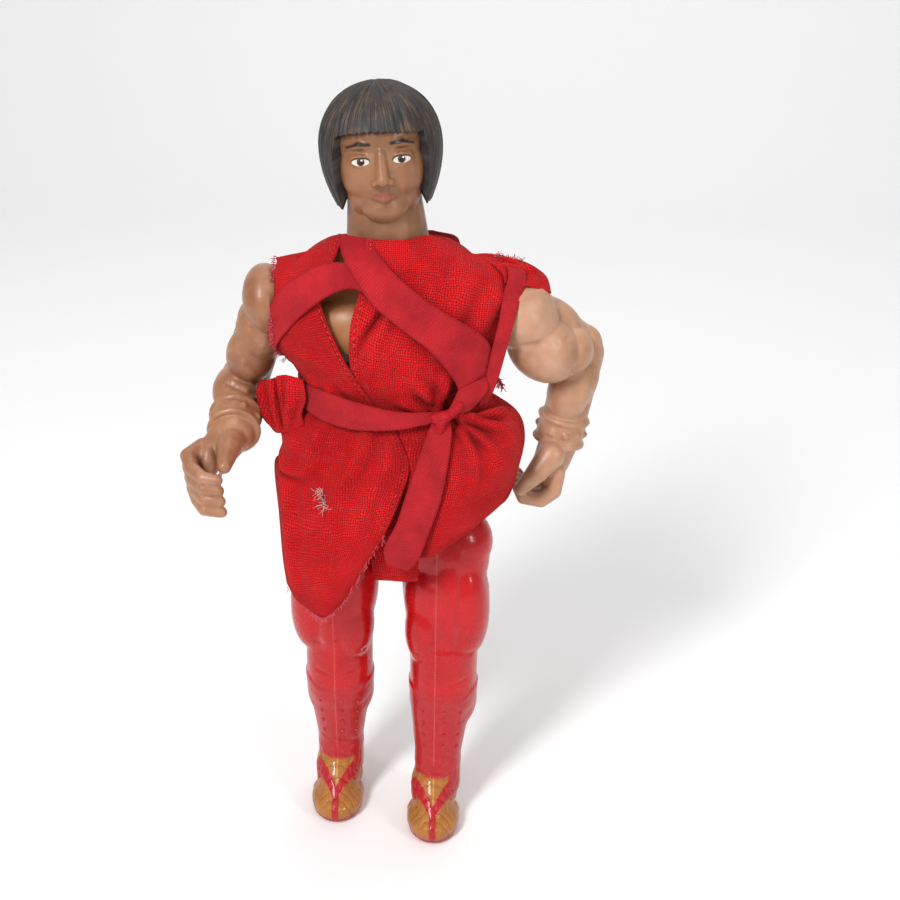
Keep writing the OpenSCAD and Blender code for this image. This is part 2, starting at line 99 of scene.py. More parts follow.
def settle(piece):
    """Applies the piece's modifiers to its mesh."""
    graph = bpy.context.evaluated_depsgraph_get()
    mesh = bpy.data.meshes.new_from_object(piece.evaluated_get(graph))
    piece.modifiers.clear()
    piece.data = mesh
    mesh.name = piece.name
    return piece


def mould(form, name, grain=0.4, rounds=6, push=0.5):
    """Welds overlapping muscles into one skin and softens where they meet."""
    piece = new_piece(form, name)
    weld = piece.modifiers.new("weld", "REMESH")
    weld.mode = "VOXEL"
    weld.voxel_size = grain * 1
    soften = piece.modifiers.new("soften", "SMOOTH")
    soften.factor = push
    soften.iterations = rounds
    return settle(piece)


def skin_of(piece):
    """The piece's points and their outward directions."""
    count = len(piece.data.vertices)
    co = np.empty(count * 3, np.float32)
    out = np.empty(count * 3, np.float32)
    piece.data.vertices.foreach_get("co", co)
    piece.data.vertex_normals.foreach_get("vector", out)
    return co.reshape(-1, 3).astype(float), out.reshape(-1, 3).astype(float)


def set_skin(piece, co):
    piece.data.vertices.foreach_set("co", co.astype(np.float32).ravel())
    piece.data.update()


def path_distance(co, path):
    """How far each point is from a line through the path's points."""
    best = np.full(len(co), 1e9)
    for a, b in zip(path[:-1], path[1:]):
        a, b = np.array(a, float), np.array(b, float)
        along = np.clip(((co - a) @ (b - a)) / ((b - a) @ (b - a)), 0, 1)
        best = np.minimum(best, np.linalg.norm(co - a - along[:, None] * (b - a), axis=1))
    return best


def crease(co, out, path, width, depth):
    """Presses a soft line into the skin along a path, or raises it where depth is below 0."""
    return co - out * (depth * np.exp(-((path_distance(co, path) / width) ** 2)))[:, None]


def ramp(value, low, high):
    t = np.clip((value - low) / (high - low), 0, 1)
    return t * t * (3 - 2 * t)


def set_in_place(piece, body, *nodes, smooth=True):
    """Takes a finished piece from millimetres to its place in metres and fixes it on its body."""
    piece.data.transform(Matrix.Translation(middle) @ Matrix.Scale(MM, 4))
    if smooth:
        piece.data.polygons.foreach_set("use_smooth", [True] * len(piece.data.polygons))
    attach(piece, body)
    if nodes:
        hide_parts(*nodes)
    return piece


# Shading: every pattern reads the piece's own place in millimetres.

def start_finish(name, roughness, **sockets):
    finish = bpy.data.materials.new(name)
    finish.use_nodes = True
    tree = finish.node_tree
    shader = tree.nodes["Principled BSDF"]
    shader.inputs["Roughness"].default_value = roughness
    for socket, value in sockets.items():
        shader.inputs[socket.replace("_", " ")].default_value = value
    return finish, tree, shader


def put(tree, kind, inputs=None, **settings):
    node = tree.nodes.new(kind)
    for key, value in settings.items():
        setattr(node, key, value)
    for key, value in (inputs or {}).items():
        if isinstance(value, bpy.types.NodeSocket):
            tree.links.new(value, node.inputs[key])
        elif value is not None:
            node.inputs[key].default_value = value
    return node


def calc(tree, how, a, b=None, c=None, clamp=False):
    return put(tree, "ShaderNodeMath", {0: a, 1: b, 2: c}, operation=how, use_clamp=clamp).outputs[0]


def place_mm(tree, turn=(0, 0, 0), pivot=(0, 0, 0)):
    """The piece's place in millimetres, from a pivot, with a tilt taken out."""
    undo = Euler([math.radians(a) for a in turn]).to_matrix().inverted()
    start = (middle / MM) + Vector(pivot)
    inputs = {"Vector": put(tree, "ShaderNodeTexCoord").outputs["Object"],
              "Scale": (1 / MM, 1 / MM, 1 / MM), "Rotation": undo.to_euler(), "Location": -(undo @ start)}
    return put(tree, "ShaderNodeMapping", inputs).outputs[0]


def split(tree, place):
    node = put(tree, "ShaderNodeSeparateXYZ", {0: place})
    return node.outputs[0], node.outputs[1], node.outputs[2]


def mottle(tree, place, scale, detail=3.0, rough=0.55, low=0.35, high=0.65):
    """Cloudy mask from 0 to 1."""
    cloud = put(tree, "ShaderNodeTexNoise", {"Vector": place, "Scale": scale, "Detail": detail,
                                             "Roughness": rough})
    return put(tree, "ShaderNodeMapRange", {0: cloud.outputs[0], 1: low, 2: high}).outputs[0]


def step(tree, value, low, high):
    """Soft step from 0 at low to 1 at high; low may be the larger."""
    return put(tree, "ShaderNodeMapRange", {0: value, 1: low, 2: high},
               interpolation_type="SMOOTHSTEP").outputs[0]


def blend_paint(tree, mask, under, over):
    node = put(tree, "ShaderNodeMix", data_type="RGBA")
    for key, value in ((0, mask), (6, under), (7, over)):
        if isinstance(value, bpy.types.NodeSocket):
            tree.links.new(value, node.inputs[key])
        else:
            node.inputs[key].default_value = value if key == 0 else (*value, 1)[:4]
    return node.outputs[2]


def bump(tree, shader, height, distance, strength=1.0, before=None):
    inputs = {"Height": height, "Distance": distance, "Strength": strength, "Normal": before}
    out = put(tree, "ShaderNodeBump", inputs).outputs[0]
    tree.links.new(out, shader.inputs["Normal"])
    return out


def line_mask(tree, u, v, a, b, half, soft=0.15):
    """1 within half of the line from a to b, on two of the place's coordinates."""
    (ax, ay), (bx, by) = a, b
    length2 = (bx - ax) ** 2 + (by - ay) ** 2
    du, dv = calc(tree, "SUBTRACT", u, ax), calc(tree, "SUBTRACT", v, ay)
    along = calc(tree, "ADD", calc(tree, "MULTIPLY", du, (bx - ax) / length2),
                 calc(tree, "MULTIPLY", dv, (by - ay) / length2), clamp=True)
    eu = calc(tree, "SUBTRACT", du, calc(tree, "MULTIPLY", along, bx - ax))
    ev = calc(tree, "SUBTRACT", dv, calc(tree, "MULTIPLY", along, by - ay))
    far = calc(tree, "SQRT", calc(tree, "ADD", calc(tree, "MULTIPLY", eu, eu),
                                  calc(tree, "MULTIPLY", ev, ev)))
    return step(tree, far, half + soft, half - soft)


def oval_mask(tree, u, v, at, half, soft=0.12):
    """1 inside an oval of half-widths (half), on two of the place's coordinates."""
    du = calc(tree, "DIVIDE", calc(tree, "SUBTRACT", u, at[0]), half[0])
    dv = calc(tree, "DIVIDE", calc(tree, "SUBTRACT", v, at[1]), half[1])
    far = calc(tree, "ADD", calc(tree, "MULTIPLY", du, du), calc(tree, "MULTIPLY", dv, dv))
    return step(tree, far, 1 + soft, 1 - soft)


HIP_Z = joint_at["right_hip_turn"].z / MM
LEG_RED = (0.52, 0.008, 0.011)
LEG_RED_DEEP = (0.43, 0.005, 0.008)
BOOT_RED = (0.42, 0.009, 0.014)
SANDAL_TAN = (0.44, 0.175, 0.036)
SANDAL_BROWN = (0.36, 0.130, 0.030)
# Side, middle of the thigh, how far the foot stands forward, and how far inside the thigh's middle
# the knee, the ankle and the foot stand
legs = {"right_leg": (-1, 11.6, 0.0, (0.8, 0.7, 0.2)), "left_leg": (1, 12.6, 6.5, (0.2, 1.1, 1.9))}


STRAP_FORK, STRAP_TOE, STRAP_ARMS = (0.0, -8.6), (0.0, -13.0), ((-5.4, -0.6), (5.4, -0.6))


def leg_finish(name, side, centre, step_y, foot_in):
    finish, tree, shader = start_finish(name, 0.24, Coat_Weight=0.30, Coat_Roughness=0.06,
                                        Specular_IOR_Level=0.2)
    place = place_mm(tree, pivot=(side * (centre - foot_in), -step_y, 0))
    x, y, z = split(tree, place)
    cloud = mottle(tree, place, 0.12)
    red = blend_paint(tree, cloud, LEG_RED, LEG_RED_DEEP)
    dust = calc(tree, "MULTIPLY", mottle(tree, place, 0.9, 6.0, 0.7, 0.42, 0.72), 0.35)
    boot = blend_paint(tree, dust, BOOT_RED, (0.50, 0.06, 0.06))
    below_boot_edge = step(tree, z, 33.8, 33.0)
    colour = blend_paint(tree, below_boot_edge, red, boot)
    wander = calc(tree, "MULTIPLY_ADD", mottle(tree, place, 0.5), 0.8, 11.8)
    tan_zone = calc(tree, "MULTIPLY", step(tree, calc(tree, "SUBTRACT", z, wander), 0.5, -0.5),
                    step(tree, z, 0.9, 1.7))
    tan = blend_paint(tree, mottle(tree, place, 0.35, 5.0, 0.65), SANDAL_TAN, SANDAL_BROWN)
    strap = line_mask(tree, x, y, STRAP_ARMS[0], STRAP_FORK, 0.75, 0.2)
    for end in (STRAP_ARMS[1], STRAP_TOE):
        strap = calc(tree, "MAXIMUM", strap, line_mask(tree, x, y, end, STRAP_FORK, 0.75, 0.2))
    tan_zone = calc(tree, "MULTIPLY", tan_zone, calc(tree, "SUBTRACT", 1.0, strap))
    # A paler line painted down the sandal's mould seam: a painted highlight on the ridge.
    seam = line_mask(tree, x, y, (0, 1.0), (0, -8.0), 0.16, 0.1)
    tan = blend_paint(tree, calc(tree, "MULTIPLY", seam, 0.7), tan, (0.60, 0.30, 0.08))
    colour = blend_paint(tree, tan_zone, colour, tan)
    # A paler line painted down the leg's front mould seam: a painted highlight on the ridge.
    front_seam = line_mask(tree, x, y, (0, -30), (0, 0), 0.10, 0.1)
    colour = blend_paint(tree, calc(tree, "MULTIPLY", calc(tree, "MULTIPLY", front_seam, 0.35),
                                    step(tree, z, 14, 16)), colour, (0.75, 0.16, 0.15))
    specks = step(tree, put(tree, "ShaderNodeTexNoise",
                            {"Vector": place, "Scale": 3.2, "Detail": 2.0}).outputs[0], 0.73, 0.77)
    colour = blend_paint(tree, calc(tree, "MULTIPLY", specks, 0.25), colour, (0.80, 0.30, 0.28))
    tree.links.new(colour, shader.inputs["Base Color"])
    gloss = calc(tree, "MULTIPLY_ADD", mottle(tree, place, 1.4, 5.0, 0.7), 0.12, 0.19)
    gloss = calc(tree, "MULTIPLY_ADD", below_boot_edge, 0.08, gloss)
    tree.links.new(gloss, shader.inputs["Roughness"])
    pores = put(tree, "ShaderNodeTexNoise", {"Vector": place, "Scale": 2.6, "Detail": 4.0}).outputs[0]
    # Close wrinkles run across the sandal and the ankle
    bend = calc(tree, "MULTIPLY_ADD", mottle(tree, place, 0.45, 2.0), 0.5,
                calc(tree, "ADD", y, calc(tree, "MULTIPLY", z, -0.3)))
    wrinkle = calc(tree, "POWER", calc(tree, "ABSOLUTE",
                                       calc(tree, "SINE", calc(tree, "MULTIPLY", bend, 2.3))), 0.6)
    wrinkle = calc(tree, "MULTIPLY", calc(tree, "MULTIPLY", wrinkle, step(tree, z, 16.0, 12.0)),
                   step(tree, y, 1.5, 0.0))
    bump(tree, shader, calc(tree, "MULTIPLY_ADD", wrinkle, 5.5, pores), 0.00006, 0.7)
    return finish


def make_leg(name, side, centre, step_y, lean):
    form = bmesh.new()
    c, foot_y, knee_y = centre, -step_y, -step_y * 0.45
    s = side
    knee, ankle, foot = (c - inward for inward in lean)
    shin = (knee + ankle) / 2

    def ball(x, y, z, size, turn=(0, 0, 0)):
        add_ball(form, (s * x, y, z), size, (turn[0], s * turn[1], s * turn[2]))

    add_taper(form, (s * 8.4, 0, HIP_Z), (s * (c + 2.4), 0, HIP_Z - 0.5), 7.6, 7.6)
    ball(c + 0.6, 0, 64, (8.8, 8.5, 11))
    ball(c + 0.2, -0.6 + knee_y * 0.4, 55, (9.4, 8.4, 13))
    ball(c + 4.2, -1.4 + knee_y * 0.5, 54, (5.4, 7.0, 13), (0, -4, 0))
    ball(c + 0.6, -3.2 + knee_y * 0.5, 54, (5.6, 6.0, 14))
    ball(c - 3.8, -2.2 + knee_y * 0.7, 48, (5.0, 6.2, 9))
    ball(c - 4.2, 1.0, 57, (5.4, 7.4, 13))
    ball(c + 1.6, 3.6 + knee_y * 0.6, 54, (7.0, 5.6, 14))
    ball(c - 3.6, 3.6 + knee_y * 0.6, 53, (4.8, 5.2, 13))
    ball(knee, knee_y, 42, (7.4, 7.0, 9))
    add_taper(form, (s * knee, knee_y + 0.2, 45), (s * knee, knee_y + 1.0, 31), 7.5, 7.4)
    ball(knee - 0.2, knee_y - 3.6, 41, (4.4, 3.6, 4.8))
    ball(knee, knee_y + 1.0, 33, (7.6, 7.3, 9))
    ball(knee, knee_y + 1.8, 29, (7.5, 6.8, 9))
    add_taper(form, (s * shin, knee_y + 0.9, 30), (s * ankle, foot_y + 2.2, 16), 6.9, 5.0)
    add_taper(form, (s * ankle, foot_y + 2.2, 16), (s * ankle, foot_y + 2.0, 9), 5.1, 5.3)
    add_taper(form, (s * foot, foot_y + 1.2, 9.0), (s * foot, foot_y - 5.8, 3.4), 5.2, 4.0)
    add_ball(form, (s * foot, foot_y - 3.4, 2.6), (6.0, 8.4, 4.0))
    add_ball(form, (s * foot, foot_y + 4.4, 3.6), (5.4, 5.2, 5.2))
    piece = mould(form, f"{name}_moulding", 0.36, 24)
    co, out = skin_of(piece)
    mid = s * knee
    # Lines between the thigh's muscles and over the knee
    co = crease(co, out, [(s * (c + 3.6), -8.6, 64), (s * (c + 2.8), -9.0, 54),
                          (s * (c + 3.2), -7 + knee_y, 45)], 0.9, 0.35)
    co = crease(co, out, [(s * (c - 2.4), -8.4, 60), (s * (c - 2.6), -9.2, 53),
                          (s * (c - 1.0), -7.6 + knee_y, 46)], 0.9, 0.35)
    co = crease(co, out, [(s * (knee - 6), -5.5 + knee_y, 43), (s * (knee - 2.6), -7 + knee_y, 45.4),
                          (s * (knee + 2.6), -7 + knee_y, 45.6), (s * (knee + 6), -4.4 + knee_y, 43.6)],
                          0.6, 0.35)
    co = crease(co, out, [(s * (knee - 5.4), -5.5 + knee_y, 37.4), (s * knee, -7.4 + knee_y, 36.2),
                          (s * (knee + 5.4), -5 + knee_y, 37.6)], 0.5, 0.3)
    # The boot stands proud of the knee, with a dip at the front of its edge
    around = np.arctan2(co[:, 0] - mid, -(co[:, 1] - knee_y))
    edge = 32.6 + 1.8 * (1 - np.cos(around)) ** 0.8 - 0.8 * np.exp(-((around - 0.7) / 0.3) ** 2) \
        - 0.8 * np.exp(-((around + 0.7) / 0.3) ** 2)
    shaft = (1 - ramp(co[:, 2], edge - 0.25, edge + 0.25)) * ramp(co[:, 2], 12.5, 14.5)
    rim = np.exp(-((co[:, 2] - edge + 0.5) / 0.5) ** 2)
    co = co + out * (0.16 * shaft + 0.12 * rim)[:, None]
    # Folds across the ankle and the foot
    for i, z in enumerate((17.4, 15.2, 13.0, 11.0)):
        tip = 0.8 * (-1) ** i
        co = crease(co, out, [(s * ankle - 4.2, foot_y - 2.0, z + tip), (s * ankle, foot_y - 3.6, z - 0.5),
                              (s * ankle + 4.2, foot_y - 2.0, z - tip)], 0.42, 0.30)
    for i in range(6):
        y = foot_y - 3.6 - i * 1.35
        z = 10.6 - i * 1.45
        co = crease(co, out, [(s * foot - 4.4, y + 1.2, z - 1.6), (s * foot, y, z),
                              (s * foot + 4.4, y + 1.0, z - 1.8)],
                    0.36, 0.42)
    # Sandal strap, raised, and the edge of the sole
    flat = co[:, :2] - np.array([s * foot, foot_y])
    fork = np.array(STRAP_FORK)
    strap = np.full(len(co), 1e9)
    for end in (*STRAP_ARMS, STRAP_TOE):
        end = np.array(end)
        t = np.clip(((flat - end) @ (fork - end)) / ((fork - end) @ (fork - end)), 0, 1)
        strap = np.minimum(strap, np.linalg.norm(flat - end - t[:, None] * (fork - end), axis=1))
    on_top = ramp(co[:, 2], 1.4, 2.4) * (1 - ramp(co[:, 2], 12, 14))
    co = co + out * (0.22 * (1 - ramp(strap, 0.6, 1.0)) * on_top)[:, None]
    co = co + out * (0.25 * (1 - ramp(co[:, 2], 0.9, 1.3)))[:, None]
    # Mould seam down the front and the back
    near_seam = np.exp(-((co[:, 0] - mid) / 0.22) ** 2) * (np.abs(out[:, 0]) < 0.7)
    co = co + out * (0.07 * near_seam)[:, None]
    co[:, 2] = np.maximum(co[:, 2], 0)
    set_skin(piece, co)
    # Studs on the boot
    tree = BVHTree.FromPolygons([v.co for v in piece.data.vertices],
                                [p.vertices for p in piece.data.polygons])
    studded = bmesh.new()
    studded.from_mesh(piece.data)
    for dx, shift in ((-4.0, 0.6), (0.9, 0.0), (4.4, 0.9)):
        for row in range(4):
            start = Vector((s * shin + dx * (1 - 0.05 * row), -30, 29.6 - 3.0 * row - shift))
            hit = tree.ray_cast(start, Vector((0, 1, 0)))[0]
            if hit is not None:
                bmesh.ops.create_icosphere(studded, subdivisions=2, radius=0.42,
                                           matrix=Matrix.Translation(hit))
    studded.to_mesh(piece.data)
    studded.free()
    piece.data.materials.append(leg_finish(f"{name}_gloss_red", side, centre, step_y, lean[2]))
    set_in_place(piece, name, name)
    return piece


for name, sizes in legs.items():
    make_leg(name, *sizes)


# ---- Hip block, post, elastic loop and hooks ----------------------------------------------------
# The hip block is a red moulding with a headed post on top, and it is threaded by the elastic loop
# that pulls the legs against it; steel hooks in the legs hold the loop's ends.

def moulded_finish(name, colour, deep, roughness=0.42, grain=0.5):
    finish, tree, shader = start_finish(name, roughness, Subsurface_Weight=0.05, Subsurface_Scale=0.002)
    place = place_mm(tree)
    tree.links.new(blend_paint(tree, mottle(tree, place, 0.2, 4.0), colour, deep),
                   shader.inputs["Base Color"])
    pores = put(tree, "ShaderNodeTexNoise", {"Vector": place, "Scale": 3.0 * grain, "Detail": 5.0}).outputs[0]
    bump(tree, shader, pores, 0.00008, 0.3)
    return finish


def steel_finish():
    finish, tree, shader = start_finish("hook_steel", 0.3, Metallic=1.0)
    place = place_mm(tree)
    stretched = put(tree, "ShaderNodeMapping", {"Vector": place, "Scale": (0.4, 6.0, 6.0)}).outputs[0]
    lines = put(tree, "ShaderNodeTexNoise", {"Vector": stretched, "Scale": 1.5, "Detail": 3.0}).outputs[0]
    tree.links.new(blend_paint(tree, lines, (0.62, 0.62, 0.64), (0.40, 0.40, 0.42)),
                   shader.inputs["Base Color"])
    bump(tree, shader, lines, 0.00004, 0.4)
    return finish


def rubber_finish():
    finish, tree, shader = start_finish("elastic_rubber", 0.75)
    place = place_mm(tree)
    tree.links.new(blend_paint(tree, mottle(tree, place, 0.8), (0.55, 0.46, 0.30), (0.40, 0.32, 0.20)),
                   shader.inputs["Base Color"])
    ribs = put(tree, "ShaderNodeTexWave", {"Vector": place, "Scale": 1.2, "Distortion": 0.6},
               bands_direction="Y").outputs["Fac"]
    bump(tree, shader, ribs, 0.0001, 0.5)
    return finish


def dress(node, finish):
    """Gives a node of the frame its finish."""
    piece = frame["nodes"][node]
    piece.data.materials.clear()
    piece.data.materials.append(finish)
    return piece


hip_finish = moulded_finish("hip_red", LEG_RED, LEG_RED_DEEP, 0.3)
steel = steel_finish()
for node in ("pelvis_block", "waist_post"):
    dress(node, hip_finish)
for node in ("right_hip_hook", "left_hip_hook"):
    dress(node, steel)
dress("elastic_band", rubber_finish())


# ---- Torso shells and neck post -----------------------------------------------------------------
# The chest is two tan mouldings glued at the sides round the posts and pegs. Its muscles show in
# the neck opening and at the armholes of the jacket.

CHEST_TAN = (0.46, 0.20, 0.07)
CHEST_DEEP = (0.36, 0.14, 0.045)
WAIST_Z = 99.0
NECK_Z = 133.0
SHOULDER_Z = joint_at["right_shoulder_turn"].z / MM


def make_torso():
    form = bmesh.new()
    add_ball(form, (0, 0.4, 115), (16.4, 10.6, 14.5))
    add_ball(form, (0, -0.4, 105.5), (13.8, 8.8, 10))
    for s in (-1, 1):
        add_ball(form, (s * 7.4, -6.4, 117.0), (8.6, 4.8, 6.4), (0, 0, s * 8))
        add_ball(form, (s * 12.2, 3, 112), (5.4, 7.2, 11))
        add_ball(form, (s * 8, 6.6, 119), (7.6, 4.6, 9))
        add_taper(form, (s * 4.6, 1, 130.4), (s * 12.8, 0.6, 124.5), 3.6, 5.2)
        add_taper(form, (s * 10, 0, SHOULDER_Z), (s * 12.6, 0, SHOULDER_Z), 6.0, 6.0)
        for z in (109.6, 105.0, 100.6):
            add_ball(form, (s * 3.2, -7.9, z), (3.0, 1.7, 2.3))
    add_taper(form, (0, 0, 128), (0, 0, 136), 8.4, 7.4)
    add_taper(form, (0, -0.2, 98), (0, -0.2, 102), 9.0, 9.0)
    whole = mould(form, "torso_whole", 0.42, 6)
    co, out = skin_of(whole)
    co = crease(co, out, [(0, -12, 123), (0, -12, 112), (0, -10, 101)], 0.8, 0.7)
    co = crease(co, out, [(0, -10.5, 111.6), (6, -11, 111.2), (13, -8.6, 113.4)], 0.8, 0.5)
    co = crease(co, out, [(0, -10.5, 111.6), (-6, -11, 111.2), (-13, -8.6, 113.4)], 0.8, 0.5)
    co = crease(co, out, [(0, 12, 127), (0, 11.5, 114), (0, 9, 101)], 1.0, 0.7)
    set_skin(whole, co)
    shells = []
    for name, s in (("torso_front", -1), ("torso_back", 1)):
        half = bmesh.new()
        half.from_mesh(whole.data)
        for point, way in (((0, 0, 0), (0, s, 0)), ((0, 0, WAIST_Z), (0, 0, 1)),
                           ((0, 0, NECK_Z), (0, 0, -1))):
            everything = half.verts[:] + half.edges[:] + half.faces[:]
            bmesh.ops.bisect_plane(half, geom=everything, plane_co=point, plane_no=way, clear_inner=True)
        shell = new_piece(half, f"{name}_shell")
        wall = shell.modifiers.new("wall", "SOLIDIFY")
        wall.thickness = 1.4
        wall.offset = -1
        settle(shell)
        shells.append(shell)
    bpy.data.objects.remove(whole)
    return shells


chest_finish = moulded_finish("chest_tan", CHEST_TAN, CHEST_DEEP, 0.4)
for shell in make_torso():
    shell.data.materials.append(chest_finish)
    set_in_place(shell, "torso", shell.name.removesuffix("_shell"))
dress("neck_post", chest_finish)


# ---- Arms ---------------------------------------------------------------------------------------
# Each arm is one soft-finished tan moulding with its elbow bent, a studded band at the wrist and a
# hand curled to hold a round handle. It turns on a headed peg through the torso's side.

ARM_TAN = (0.36, 0.165, 0.080)
ARM_DEEP = (0.26, 0.100, 0.044)
ARM_PALE = (0.50, 0.27, 0.165)


def arm_finish(name, colour, deep, pale):
    finish, tree, shader = start_finish(name, 0.38, Coat_Weight=0.12, Coat_Roughness=0.3,
                                        Subsurface_Weight=0.10,
                                        Subsurface_Radius=(1.0, 0.4, 0.2), Subsurface_Scale=0.003)
    place = place_mm(tree)
    tone = blend_paint(tree, mottle(tree, place, 0.10, 3.0), colour, deep)
    tone = blend_paint(tree, calc(tree, "MULTIPLY", mottle(tree, place, 0.22, 4.0, 0.6, 0.5, 0.75), 0.6),
                       tone, pale)
    # Painted shade: the tone darkens in creases and hollows, where ambient occlusion is low.
    crevice_shade = put(tree, "ShaderNodeAmbientOcclusion", {"Distance": 0.0022}, samples=6).outputs["AO"]
    tone = blend_paint(tree, step(tree, crevice_shade, 0.75, 0.25), tone, tuple(0.45 * v for v in deep))
    tree.links.new(tone, shader.inputs["Base Color"])
    pores = put(tree, "ShaderNodeTexNoise", {"Vector": place, "Scale": 2.2, "Detail": 5.0,
                                             "Roughness": 0.6}).outputs[0]
    bump(tree, shader, pores, 0.00009, 0.35)
    tree.links.new(calc(tree, "MULTIPLY_ADD", mottle(tree, place, 0.8, 4.0), 0.14, 0.33),
                   shader.inputs["Roughness"])
    return finish


def add_band(form, start, end, radius, studs, plaque=None):
    """A wrist band from start to end: a sleeve with a ridge at each edge, studs and an oval plaque."""
    a, b = Vector(start), Vector(end)
    way = (b - a).normalized()
    turn = way.to_track_quat("Z", "Y").to_matrix().to_4x4()
    bmesh.ops.create_cone(form, cap_ends=True, segments=32, radius1=radius, radius2=radius,
                          depth=(b - a).length,
                          matrix=Matrix.Translation((a + b) / 2) @ turn)
    for at in (a, b):
        bead = bmesh.ops.create_circle(form, segments=10, radius=0.62, matrix=Matrix.Translation(at) @ turn
                                       @ Matrix.Translation((radius, 0, 0))
                                       @ Matrix.Rotation(math.pi / 2, 4, "X"))
        ring = bead["verts"] + list({e for v in bead["verts"] for e in v.link_edges})
        bmesh.ops.spin(form, geom=ring, cent=at, axis=way, angle=math.tau, steps=40, use_merge=True)
    mid = (a + b) / 2
    for angle in studs:
        t = math.radians(angle)
        spot = turn @ Vector((radius * math.cos(t), radius * math.sin(t), 0))
        add_ball(form, mid + spot, 0.75)
    if plaque is not None:
        t = math.radians(plaque)
        spot = turn @ Vector(((radius - 0.1) * math.cos(t), (radius - 0.1) * math.sin(t), 0))
        face = turn @ Matrix.Rotation(t, 4, "Z")
        bmesh.ops.create_uvsphere(form, u_segments=16, v_segments=10, radius=1,
                                  matrix=Matrix.Translation(mid + spot) @ face
                                  @ Matrix.Diagonal((0.7, 2.4, 1.25, 1)))


def make_right_arm():
    form = bmesh.new()
    add_ball(form, (-24.2, 0, 120.6), (5.0, 7.6, 7.6), (0, -10, 0))
    add_ball(form, (-25.8, 0.8, 114.4), (5.3, 6.6, 8.0), (0, 12, 0))
    add_taper(form, (-25.6, 1.6, 116), (-29.6, 6.6, 103), 5.2, 4.8)
    add_ball(form, (-28.0, 0.2, 109.0), (5.2, 5.0, 6.6), (14, 12, 0))
    add_ball(form, (-28.4, 5.4, 109), (4.6, 4.6, 8.5), (14, 16, 0))
    add_ball(form, (-30.2, 8.0, 101.6), 4.5)
    add_taper(form, (-30.6, 7.4, 101.2), (-30.3, -12, 97.2), 4.9, 4.4)
    add_ball(form, (-32.0, 0.8, 100.8), (4.4, 7.4, 4.7), (8, 0, 0))
    add_ball(form, (-29.8, 2.4, 99.4), (4.6, 7.6, 4.6), (8, 0, 0))
    add_band(form, (-30.6, -7.4, 98.4), (-30.3, -12.4, 97.3), 4.9, (20, 65, 150, 200, 250, 300), 100)
    add_taper(form, (-30.4, -12, 97.2), (-33.0, -16.6, 94.6), 4.3, 3.8)
    add_ball(form, (-35.2, -17.6, 93.0), (2.6, 4.8, 4.8), (0, 8, 12))
    add_ball(form, (-33.4, -16.0, 94.2), (3.2, 3.6, 3.8))
    for k in range(4):
        z = 96.0 - 2.25 * k
        out_x = -38.2 + 0.3 * k
        add_chain(form, [(-35.8, -17.4, z), (out_x, -21.4, z - 0.4), (out_x + 1.4, -25.4, z - 1.2),
                         (-34.2, -28.2, z - 1.9), (-31.4 + 0.2 * k, -28.6, z - 2.2)],
                         [1.7, 1.55, 1.42, 1.3, 1.15])
    add_chain(form, [(-30.4, -14.4, 96.4), (-30.2, -20.0, 97.0), (-30.2, -26.6, 95.8)], [3.1, 2.4, 1.4])
    piece = mould(form, "right_arm_moulding", 0.3, 5, 0.5)
    co, out = skin_of(piece)
    co = crease(co, out, [(-31.4, 2.6, 113.4), (-30.2, -1.6, 114.6), (-27.2, -4.8, 116.6)], 0.6, 0.5)
    co = crease(co, out, [(-35.4, 3.6, 102.4), (-32.4, -3.6, 103.8), (-28.4, -5.2, 102.6),
                          (-25.4, -2.4, 101.8)], 0.7, 0.7)
    near_seam = np.exp(-((co[:, 0] + 29.4) / 0.2) ** 2) * (np.abs(out[:, 0]) < 0.6) * (co[:, 1] > 6)
    co = co + out * (0.1 * near_seam)[:, None]
    # Nails and the joints of the fingers
    for k in range(4):
        z = 96.0 - 2.25 * k
        co = crease(co, out, [(-39.4, -22.4, z - 0.6), (-38.6, -25.4, z - 1.2)], 0.3, 0.12)
    co = crease(co, out, [(-31.4, -25.4, 96.9), (-29.4, -25.4, 96.9)], 0.3, 0.22)
    set_skin(piece, co)
    return piece


